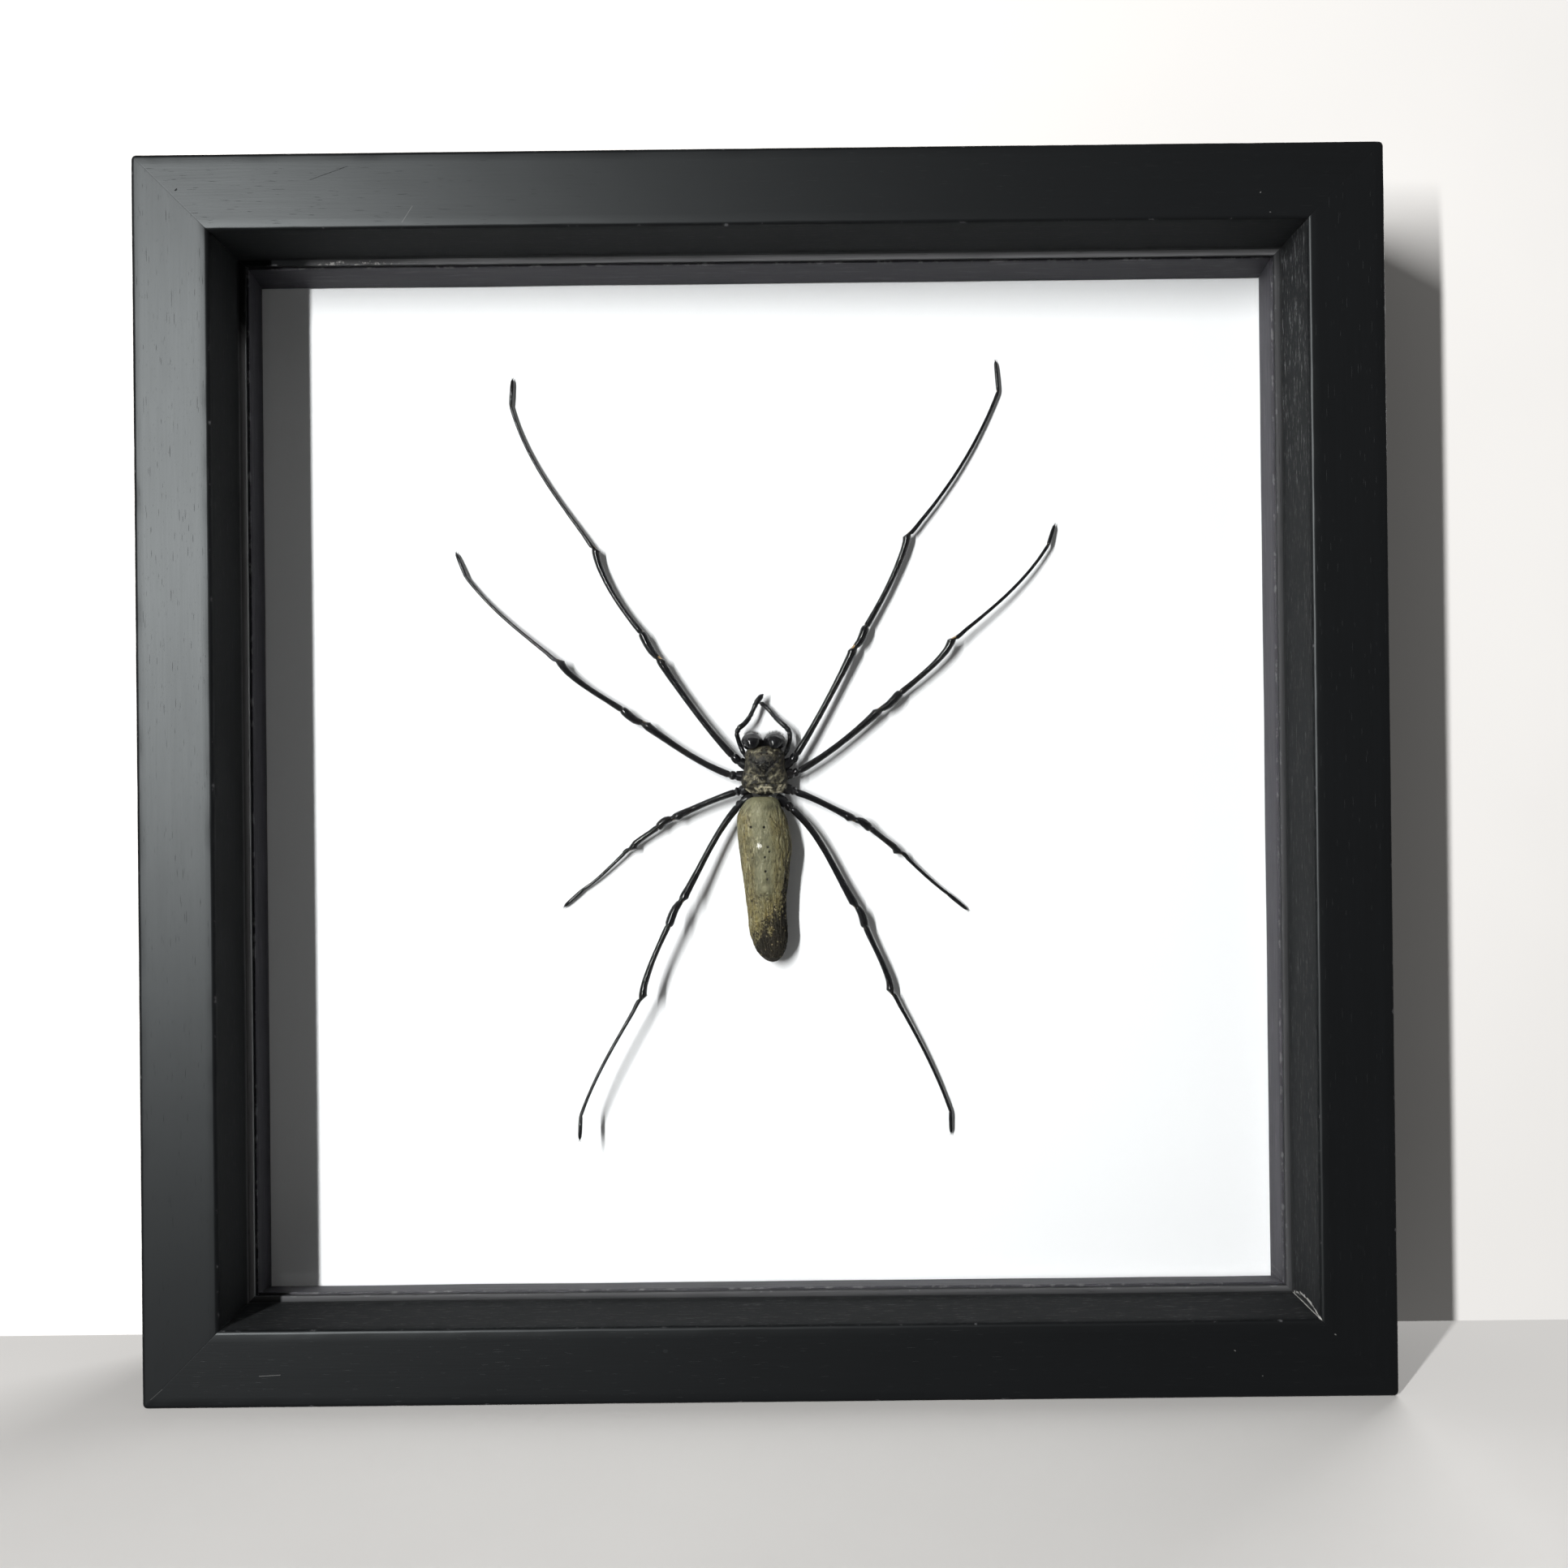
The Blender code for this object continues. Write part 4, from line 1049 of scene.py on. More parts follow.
def rail_marks(side, along, inward, depth, to_mitre):
    """Worn places of a rail at a point; along runs from the viewer's left or from below."""
    in_front = spread(depth, LIP_DEPTH + 0.2, LIP_DEPTH - 0.6)
    on_lip = bump(depth - LIP_DEPTH, 0.35) * spread(inward, FACE_WIDTH - 0.1, FACE_WIDTH + 0.15)
    rub = RAIL_RUB[side] * bump(inward - FACE_WIDTH, 0.5) * spread(depth, 0.4, 1.0) * in_front
    if side == "right":
        rub *= 0.35 + 1.15 * spread(along, 40.0, 100.0)
    chip, lit = 0.0, 1.0
    if side == "top":
        lit = spread(along, -96.0, -93.0) * (0.5 + 0.5 * spread(along, -84.0, -66.0))
        chip = 0.5 * on_lip * spread(along, -96.0, -93.0) * spread(along, -64.0, -80.0)
    elif side == "left":
        lit = spread(along, 97.0, 88.0)
    if (side == "right" and along < 0) or (side == "bottom" and along > 0):
        worn = bump(to_mitre, 0.35)
        if side == "right":
            worn = max(worn, bump(to_mitre - 1.5 * math.sin(math.pi * min(1.0, depth / LIP_DEPTH)), 0.6))
        worn *= bump(inward - FACE_WIDTH, 0.8) * spread(depth, LIP_DEPTH + 0.5, LIP_DEPTH - 0.5)
        chip = max(chip, 0.85 * worn)
    wall = spread(inward, FACE_WIDTH - 0.5, FACE_WIDTH - 0.1) * spread(depth, 0.3, 1.0)
    wall = max(wall, 0.75 * spread(inward, 0.4, 0.0) * spread(depth, 0.8, 3.0))
    ledge = on_lip * LEDGE_TONE[side] * lit
    return {"rub": rub, "ledge": ledge, "chip": chip, "wall": wall, "deep": spread(depth, 0.2, 0.9)}


def build_rail(side, section, material):
    """One mitred rail with eased edges, small dents and a fine groove along its mitres."""
    turn = RAIL_TURNS[side]
    rings, values = [], {}
    middle = Vector(np.mean(section, axis=0))
    for station in rail_stations(HALF_SIDE):
        ring = []
        for inward, depth in section:
            reach = HALF_SIDE - inward
            along = station * reach
            to_mitre = reach - abs(along)
            nearest = min(math.dist((inward, depth), corner) for corner in EDGE_CORNERS)
            edge = spread(nearest, EDGE_REACH, 0.2)
            seed_place = Vector((along * 0.11, inward * 0.3 + turn, depth * 0.3))
            dent = 0.1 * edge * max(0.0, noise.noise(seed_place * 3.0))
            dent += 0.02 * max(0.0, noise.noise(seed_place))
            if station in (-1.0, 1.0):
                dent += MITRE_GROOVE
            pull = (middle - Vector((inward, depth))).normalized() * dent
            round_off = max(0.0, CORNER_ROUND - inward)
            if to_mitre < round_off:
                angle = math.radians(45.0) * (1.0 - to_mitre / round_off)
                along = math.copysign(reach - round_off * (1.0 - math.sin(angle)), along)
                pull.x += round_off * (1.0 - math.cos(angle))
            point = (along, FRONT_Y + depth + pull.y, inward + pull.x)
            ring.append(turned(point, turn))
            run = ring[-1].x if side in ("bottom", "top") else ring[-1].z - HALF_SIDE
            note(values, grain=(run * MM, (inward + turn) * MM, depth * MM), edge=edge,
                 **rail_marks(side, run, inward, depth, to_mitre))
        rings.append(ring)
    shape = Shape()
    shape.add(*skin(rings, poles=False), **values)
    return shape.piece("rail_" + side, [material], sharp=25.0)


def rounded_block(low, high, radius):
    """A bmesh block in metres between two corners, with rounded edges."""
    shape = bmesh.new()
    bmesh.ops.create_cube(shape, size=1.0)
    bmesh.ops.scale(shape, vec=(Vector(high) - Vector(low)) * MM, verts=shape.verts)
    bmesh.ops.translate(shape, vec=(Vector(high) + Vector(low)) / 2 * MM, verts=shape.verts)
    bmesh.ops.bevel(shape, geom=shape.edges[:], offset=radius * MM, segments=3, affect="EDGES", profile=0.5)
    return shape


def cut_pocket(rail):
    """Cut the hanger's shallow pocket into the back of the top rail."""
    room = Vector((POCKET_ROOM,) * 3)
    high = PLATE_HIGH + room
    high.y = FRONT_Y + FRAME_DEPTH + POCKET_PAST
    block = rounded_block(PLATE_LOW - room, high, POCKET_EASE)
    mesh = bpy.data.meshes.new("pocket")
    block.to_mesh(mesh)
    block.free()
    cutter = placed("pocket", mesh)
    step = rail.modifiers.new("pocket", "BOOLEAN")
    step.operation = "DIFFERENCE"
    step.solver = "EXACT"
    step.object = cutter
    made_plain(rail)
    bpy.data.objects.remove(cutter)
    bpy.data.meshes.remove(mesh)


def made_plain(piece):
    """Turn a piece's modifiers into a plain mesh and drop them."""
    graph = bpy.context.evaluated_depsgraph_get()
    plain = bpy.data.meshes.new_from_object(piece.evaluated_get(graph), depsgraph=graph)
    old = piece.data
    piece.modifiers.clear()
    piece.data = plain
    bpy.data.meshes.remove(old)
    plain.name = piece.name


def build_strip(side, material):
    """A spacer strip between glass and card. The upper and the lower one have sunk a little at the card."""
    low_y, high_y = STRIP_LOW.y, STRIP_HIGH.y
    outer = STRIP_HIGH.z - HALF_SIDE
    upright = side in ("left", "right")
    way = 1.0 if side in ("right", "top") else -1.0
    reach = outer if upright else SIGHT_HALF - 0.05
    lean = {"top": STRIP_LEAN, "bottom": -STRIP_LEAN}.get(side, 0.0)
    ease = 0.18
    corners = [
        (outer, low_y), (SIGHT_HALF + ease, low_y), (SIGHT_HALF + 0.05, low_y + 0.05),
        (SIGHT_HALF, low_y + ease), (SIGHT_HALF - lean, high_y - ease),
        (SIGHT_HALF + 0.05 - lean, high_y - 0.05), (SIGHT_HALF + ease - lean, high_y), (outer, high_y),
    ]
    section = divided(corners, 1.5)
    rings, values = [], {}
    for station in np.linspace(-1.0, 1.0, 70):
        ring = []
        along = station * reach
        sway = 0.09 * wave(along * 0.04, len(side), 0.0)
        for from_middle, y in section:
            near = spread(abs(y - low_y), 0.7, 0.1) * spread(from_middle, SIGHT_HALF + 0.9, SIGHT_HALF + 0.2)
            inner = way * (from_middle + sway * spread(from_middle, outer - 0.2, SIGHT_HALF + 0.5))
            across, up = (inner, along) if upright else (along, inner)
            ring.append(Vector((across, y, HALF_SIDE + up)))
            note(values, grain=(along * MM, (from_middle + 50 * len(side)) * MM, y * MM), edge=near)
        rings.append(ring)
    shape = Shape()
    shape.add(*skin(rings, poles=False), **values)
    return shape.piece("spacer_" + side, [material], sharp=25.0)


def piece_tree(name, inputs):
    """A new geometry node tree from geometry to geometry, with named inputs."""
    geometry = ("Geometry", "Geometry")
    return named_tree(name, "GeometryNodeTree", ((*geometry, None), *inputs), (geometry,))


def grown(piece, tree, settings):
    """Put a geometry node tree on a piece, set its inputs by identifier and keep the plain result."""
    step = piece.modifiers.new(tree.name, "NODES")
    step.node_group = tree
    for item in tree.interface.items_tree:
        if item.in_out == "INPUT" and item.name in settings:
            step[item.identifier] = settings[item.name]
    made_plain(piece)
    return piece


def real_copies(tree, points, instance, **inputs):
    """Copies of a shape on points, made real."""
    wanted = {"Points": points, "Instance": instance, **inputs}
    copies = put(tree, "GeometryNodeInstanceOnPoints", wanted)
    return put(tree, "GeometryNodeRealizeInstances", {"Geometry": copies.outputs[0]}).outputs[0]


def skin_value(tree, name, kind="FLOAT"):
    """A named value of the skin that a hair grows on."""
    return put(tree, "GeometryNodeInputNamedAttribute", {"Name": name}, data_type=kind).outputs["Attribute"]


def random_share(tree, low, high, seed):
    """A random number for each hair."""
    wanted = {2: low, 3: high, "Seed": seed}
    return put(tree, "FunctionNodeRandomValue", wanted, data_type="FLOAT").outputs[1]


def hair_tree(name):
    """Hairs on a surface: thin bent cones where the hair attribute says, leaning the way of lay."""
    inputs = (
        ("Density", "Float", 1e6), ("Length", "Float", 0.0005), ("Radius", "Float", 0.00002),
        ("Lean", "Float", 0.6), ("Spread", "Float", 0.3), ("Bend", "Float", 0.25), ("Seed", "Int", SEED),
        ("Material", "Material", None),
    )
    tree, given, wanted = piece_tree(name, inputs)
    density = times(tree, skin_value(tree, "hair"), given["Density"])
    roots = put(tree, "GeometryNodeDistributePointsOnFaces",
                {"Mesh": given["Geometry"], "Density": density, "Seed": given["Seed"]})

    lay = skin_value(tree, "lay", "FLOAT_VECTOR")
    outward = scaled(tree, roots.outputs["Normal"], maths(tree, "SUBTRACT", 1.0, given["Lean"]))
    shaken = put(tree, "FunctionNodeRandomValue", {0: (-1.0,) * 3, 1: (1.0,) * 3, "Seed": given["Seed"]},
                 data_type="FLOAT_VECTOR")
    shake = scaled(tree, shaken.outputs[0], given["Spread"])
    aim = vector_maths(tree, "ADD", outward, scaled(tree, lay, given["Lean"]))
    aim = vector_maths(tree, "ADD", aim, shake)
    turn = put(tree, "FunctionNodeAlignRotationToVector", {"Vector": aim}, axis="Z")
    turn = put(tree, "FunctionNodeAlignRotationToVector", {"Rotation": turn.outputs[0], "Vector": lay},
               axis="X", pivot_axis="Z")

    tone = maths(tree, "ADD", times(tree, random_share(tree, 0.0, 1.0, TONE_SEED), 0.75), 0.25)
    tone = times(tree, tone, skin_value(tree, "pale"), clamp=True)
    toned = put(tree, "GeometryNodeStoreNamedAttribute",
                {"Geometry": roots.outputs["Points"], "Name": "tone", "Value": tone},
                domain="POINT", data_type="FLOAT")

    bend = put(tree, "ShaderNodeCombineXYZ", {0: given["Bend"], 2: 1.0}).outputs[0]
    line = put(tree, "GeometryNodeCurveQuadraticBezier",
               {"Resolution": 3, "Start": (0, 0, 0), "Middle": (0, 0, 0.6), "End": bend})
    place = put(tree, "GeometryNodeSplineParameter").outputs["Factor"]
    taper = maths(tree, "SUBTRACT", 1.0, times(tree, place, 0.92))
    radius = times(tree, taper, maths(tree, "DIVIDE", given["Radius"], given["Length"]))
    ring = put(tree, "GeometryNodeCurvePrimitiveCircle", {"Resolution": 3, "Radius": 1.0})
    wanted_hair = {"Curve": line.outputs[0], "Profile Curve": ring.outputs[0], "Scale": radius}
    hair = put(tree, "GeometryNodeCurveToMesh", {**wanted_hair, "Fill Caps": True})
    size = times(tree, random_share(tree, 0.55, 1.15, SIZE_SEED), given["Length"])
    real = real_copies(tree, toned.outputs[0], hair.outputs[0], Rotation=turn.outputs[0],
                       Scale=times(tree, size, skin_value(tree, "long")))
    dressed = put(tree, "GeometryNodeSetMaterial", {"Geometry": real, "Material": given["Material"]})
    wire(tree, wanted[0], dressed.outputs[0])
    return tree


def hairs_on(piece, name, slot, material, coat, look, field="hair", seed=SEED):
    """A piece of hairs that grow on another piece's skin, as dense as one of its attributes says."""
    skin_copy = piece.data.copy()
    if field != "hair":
        amounts = np.zeros(len(skin_copy.vertices), np.float32)
        skin_copy.attributes[field].data.foreach_get("value", amounts)
        skin_copy.attributes["hair"].data.foreach_set("value", amounts)
    skin_copy.materials.clear()
    made = placed(name, skin_copy)
    density, length, radius, *shape = COATS[coat]
    sizes = (look.hairs * density / MM**2, length * MM, radius * MM, *shape)
    tree = bpy.data.node_groups.get("Hairs On Skin") or hair_tree("Hairs On Skin")
    grown(made, tree, {**dict(zip(COAT_INPUTS, sizes)), "Seed": seed, "Material": material})
    if not made.data.materials:
        made.data.materials.append(material)
    return declare(made, slot)


def tab_tree():
    """Copies of one tab: pairs along a side, repeated on the four sides of the frame."""
    inputs = (
        ("From Middle", "Float", 0.07), ("Centre Height", "Float", 0.125), ("Material", "Material", None),
    )
    tree, given, wanted = piece_tree("Tabs Round The Frame", inputs)
    away, height = given["From Middle"], given["Centre Height"]
    start = put(tree, "ShaderNodeCombineXYZ", {0: times(tree, away, -1.0)}).outputs[0]
    step = put(tree, "ShaderNodeCombineXYZ", {0: times(tree, away, 2.0)}).outputs[0]
    pair = put(tree, "GeometryNodeMeshLine", {"Count": 2, "Start Location": start, "Offset": step})
    side = real_copies(tree, pair.outputs[0], given["Geometry"])
    lower = put(tree, "ShaderNodeCombineXYZ", {2: times(tree, height, -1.0)}).outputs[0]
    at_middle = put(tree, "GeometryNodeTransform", {"Geometry": side, "Translation": lower})
    centre = put(tree, "ShaderNodeCombineXYZ", {2: height}).outputs[0]
    sides = put(tree, "GeometryNodeMeshLine", {"Count": 4, "Start Location": centre, "Offset": (0, 0, 0)})
    number = put(tree, "GeometryNodeInputIndex").outputs[0]
    angle = put(tree, "ShaderNodeCombineXYZ", {1: times(tree, number, math.pi / 2)}).outputs[0]
    turn = put(tree, "FunctionNodeEulerToRotation", {0: angle}).outputs[0]
    real = real_copies(tree, sides.outputs[0], at_middle.outputs[0], Rotation=turn)
    dressed = put(tree, "GeometryNodeSetMaterial", {"Geometry": real, "Material": given["Material"]})
    wire(tree, wanted[0], dressed.outputs[0])
    return tree


def plate_piece(name, outline, front_y, thickness, ease, material):
    """A flat plate cut to an outline of (across, up) points, with eased edges."""
    shape = bmesh.new()
    face = shape.faces.new([shape.verts.new(Vector((x, front_y, z)) * MM) for x, z in outline])
    pulled = bmesh.ops.extrude_face_region(shape, geom=[face])
    moved = [item for item in pulled["geom"] if isinstance(item, bmesh.types.BMVert)]
    bmesh.ops.translate(shape, vec=(0, thickness * MM, 0), verts=moved)
    bmesh.ops.recalc_face_normals(shape, faces=shape.faces)
    rims = [e for e in shape.edges if abs(e.verts[0].co.y - e.verts[1].co.y) < 1e-9]
    bmesh.ops.bevel(shape, geom=rims, offset=ease * MM, segments=2, affect="EDGES", profile=0.5)
    mesh = bpy.data.meshes.new(name)
    shape.to_mesh(mesh)
    shape.free()
    mesh.materials.append(material)
    mesh.shade_smooth()
    mesh.set_sharp_from_angle(angle=math.radians(30))
    return placed(name, mesh)


TAB_EASE = 2.2
PLATE_EASE = 1.2
TEETH, TOOTH_HEIGHT = 9, 1.4
# A screw's head from rim to middle: share of its radius, and share of its height
SCREW_DOME = ((1.0, 0.0), (1.0, 0.3), (0.94, 0.6), (0.8, 0.82), (0.6, 0.95), (0.35, 1.0), (0.1, 1.0))
RECESS = 0.55


def tab_outline():
    """A tab's outline about its own middle line: a blunt point in the rail and a rounded free end."""
    half = (TAB_HIGH.x - TAB_LOW.x) / 2
    root, tip = TAB_LOW.z, TAB_HIGH.z
    ease = TAB_EASE
    points = [(-half, root + 1.5), (-half * 0.4, root), (half * 0.4, root), (half, root + 1.5)]
    points += eased_corner((half - ease, tip - ease), ease, 0, 5)
    points += eased_corner((-half + ease, tip - ease), ease, 90, 5)
    return points


def hanger_outline():
    """The plate's outline, from its upper left corner, with teeth along the lower edge."""
    half = (PLATE_HIGH.x - PLATE_LOW.x) / 2
    low, high = PLATE_LOW.z, PLATE_HIGH.z
    toothed = (SCREW_HIGH.x + SCREW_LOW.x) / 2 - (SCREW_HIGH.x - SCREW_LOW.x)
    pitch = 2 * toothed / TEETH
    ease = PLATE_EASE
    points = eased_corner((half - ease, high - ease), ease, 0, 4)
    points += eased_corner((-half + ease, high - ease), ease, 90, 4)
    points += eased_corner((-half + ease, low + ease), ease, 180, 4)
    for tooth in range(TEETH):
        left = -toothed + tooth * pitch
        points += [(left, low), (left + pitch / 2, low + TOOTH_HEIGHT)]
    points.append((toothed, low))
    points += eased_corner((half - ease, low + ease), ease, 270, 4)
    return points


def screw_shape(across, height, front_y, back_y):
    """A domed screw head with a cross recess, from the plate out to the back."""
    radius = (SCREW_HIGH.x - SCREW_LOW.x) / 2
    rings = []
    for share, out in SCREW_DOME:
        ring = []
        for angle in angles_round(32):
            away = Vector((math.cos(angle), 0.0, math.sin(angle)))
            arm = max(abs(away.x), abs(away.z))
            sunk = RECESS * (spread(arm, 0.93, 0.985) * spread(share, 0.62, 0.4) + spread(share, 0.2, 0.1))
            y = front_y + (back_y - front_y) * (out - sunk * 0.9)
            ring.append(Vector((across, y, height)) + away * radius * share)
        rings.append(ring)
    return skin(rings)


def add_sectioned(shape, rows, count, sides, raise_by):
    """Add a body from its sections; raise_by moves a point out by its place and gives its values."""
    rings, values = [], {}
    for up, middle, half_width, rise, drop, lift in smooth_rows(rows, count):
        ring = []
        half_width, rise, drop = (max(0.02, v) for v in (half_width, rise, drop))
        for angle in angles_round(sides):
            across = math.cos(angle)
            height = math.sin(angle)
            tall = rise if height > 0 else drop
            out, facts = raise_by(angle, up, middle, half_width * across, lift + tall * height)
            outward = Vector((across / half_width, height / tall)).normalized() * out
            place = middle + half_width * across + outward.x
            ring.append(off_card(place, up, lift + tall * height + outward.y))
            note(values, **facts)
        rings.append(ring)
    add_skin(shape, rings, values)


def line_distance(point, start, end):
    """Distance of a flat point from a short line."""
    line = Vector(end) - Vector(start)
    away = Vector(point) - Vector(start)
    share = max(0.0, min(1.0, away.dot(line) / line.length_squared))
    return (away - line * share).length


# Furrows of the front body as two ends, depth and half width, and strokes of cream felt as two ends
FURROWS = (
    ((0.0, 0.3), (-2.9, 3.2), 0.34, 0.4), ((0.0, 0.3), (2.7, 3.2), 0.34, 0.4),
    ((-0.9, -0.6), (0.7, -0.6), 0.45, 0.5), ((-0.4, -0.7), (-3.6, 0.6), 0.22, 0.45),
    ((0.3, -0.7), (3.5, 0.8), 0.22, 0.45), ((-0.6, -0.9), (-4.0, -1.6), 0.2, 0.45),
    ((0.5, -0.9), (3.9, -1.5), 0.2, 0.45), ((-0.5, -1.1), (-2.2, -2.9), 0.16, 0.4),
    ((0.4, -1.1), (2.1, -2.9), 0.16, 0.4), ((-3.2, -2.2), (0.0, -1.75), 0.18, 0.3),
    ((0.0, -1.75), (3.1, -2.1), 0.18, 0.3),
)
STROKES = (
    ((-3.5, 0.7), (-3.0, 1.5)), ((-4.3, -0.7), (-3.9, -0.1)), ((-2.3, -0.8), (-2.1, -0.1)),
    ((-1.7, -0.6), (-1.1, -1.2)), ((2.3, -0.1), (3.1, 1.0)), ((3.4, -1.4), (3.9, -0.6)),
    ((-3.4, -1.6), (-2.9, -1.1)), ((1.1, -0.7), (1.6, -0.2)), ((-4.2, -3.0), (-3.5, -3.3)),
    ((-3.4, -4.0), (-2.6, -3.5)), ((-2.1, -3.8), (-1.6, -3.7)), ((-1.5, -3.8), (-1.0, -3.3)),
    ((-2.1, -2.7), (-1.6, -3.1)), ((-1.4, -2.9), (-0.8, -2.3)), ((-0.3, -2.5), (-0.1, -3.4)),
    ((0.1, -2.5), (0.2, -3.2)), ((0.4, -2.5), (1.2, -2.6)), ((1.0, -3.1), (1.7, -3.7)),
    ((2.1, -3.8), (3.2, -3.5)), ((2.6, -3.2), (3.3, -2.2)), ((3.7, -3.0), (4.2, -2.2)),
    ((-2.9, 4.9), (-1.8, 5.1)), ((-1.2, 5.1), (-0.8, 5.4)), ((0.9, 5.1), (1.5, 4.7)),
    ((2.2, 5.3), (2.5, 5.6)),
)
STROKE_REACH = 0.4


def carapace_surface(angle, up, middle, across, lift):
    """Relief, bareness and hair of the front body at a point, and its painted shade in the furrows, under the
    brow, on the rear slope and round the rim.
    """
    above = spread(math.sin(angle), 0.0, 0.35)
    here = (across, up)
    sunk = sum(depth * bump(line_distance(here, start, end), width) for start, end, depth, width in FURROWS)
    gap, start, end = min((line_distance(here, start, end), start, end) for start, end in STROKES)
    along = (Vector(end) - Vector(start)).normalized()
    stroke = bump(gap, STROKE_REACH) * above * (1.0 - 0.5 * spread(up, -2.2, -1.8))
    rough = 0.06 * wave(across * 1.7, up * 1.7, lift * 1.7)
    to_horn = math.dist((abs(across), up), HORN_PLACE)
    horns = HORN_HEIGHT * bump(to_horn, HORN_RADIUS)
    out = above * (horns - min(sunk, 0.6)) + rough
    across_warp = across + 0.6 * wave(across * 1.6, up * 1.6, 7.0)
    patch_edge = 0.3 + 0.8 * abs(across_warp - 0.1) + 0.5 * wave(across * 2.6, up * 2.6, 1.0)
    top_edge = up + 0.9 * wave(across * 1.1, up * 0.8, 3.0)
    bare = above * spread(up, patch_edge - 0.3, patch_edge + 0.4) * spread(top_edge, 3.9, 2.9)
    bare *= spread(abs(across_warp), 3.1, 2.0)
    bare *= 0.45 + 0.9 * abs(wave(across * 2.1, up * 2.1, 8.0))
    # Painted shade on the slope down to the abdomen, under the brow and round the rim.
    rear_slope = spread(up, -3.3, -3.8) * spread(abs(across), 2.9, 2.1)
    brow = bump(up - 3.4 - 0.6 * wave(across, up, 2.0), 1.2) * spread(abs(across), 3.6, 2.6)
    rim = spread(abs(across), 3.5, 4.9) * (1.0 - stroke)
    shaded = 0.6 * above * brow + rear_slope + 0.55 * rim
    on_body = spread(up, -4.0, -3.6)
    rear_tuft = spread(up, -1.9, -2.3) * on_body * above
    front_tuft = spread(up, 4.9, 5.4) * above
    sides = spread(abs(across), 2.2, 3.4)
    hair = (1.0 - bare) * on_body * (0.25 + 0.15 * above)
    hair += on_body * (0.5 * rear_tuft + 0.2 * front_tuft)
    streaky = 0.5 + 0.5 * wave(across * 1.4, up * 1.1, 4.0)
    tuft = max(rear_tuft, front_tuft * spread(abs(across), 2.8, 1.6))
    pale = 0.05 + 0.12 * streaky**2 + 0.15 * tuft + stroke
    pale *= 0.6 + 0.4 * above
    long = 0.7 + 0.3 * tuft + 0.2 * sides + 0.4 * stroke
    forward = 0.9 if up > -2.0 else -0.5
    lay = Vector((across * 0.12, -0.35, forward))
    lay = lay.lerp(Vector((along.x, -0.12, along.y)), min(1.0, 2.5 * stroke))
    # The furrows' depth sets their painted shade, and the painted shade above is added to it.
    facts = {
        "bare": bare, "hair": hair, "pale": min(1.0, pale), "long": long, "lay": tuple(lay.normalized()),
        "furrow": min(1.0, 2.4 * sunk * above + shaded), "tuft": stroke * on_body,
    }
    return out, facts


def add_ball(shape, centre, radius, finish, steps=10):
    """A closed ball."""
    rings = []
    for row in range(1, steps):
        tilt = math.pi * row / steps
        wide, y = math.sin(tilt), -math.cos(tilt)
        rings.append([centre + Vector((wide * math.cos(angle), y, wide * math.sin(angle))) * radius
                      for angle in angles_round(steps * 2)])
    shape.add(*skin(rings), finish)


def top_lift(rows, across, up):
    """How far the upper skin of a sectioned body stands off the card at a place."""
    table = np.array(rows)[::-1]
    middle, half_width, rise, _, lift = (np.interp(up, table[:, 0], column) for column in table.T[1:])
    share = max(-0.98, min(0.98, (across - middle) / max(half_width, 0.1)))
    return lift + rise * math.sqrt(1 - share * share)


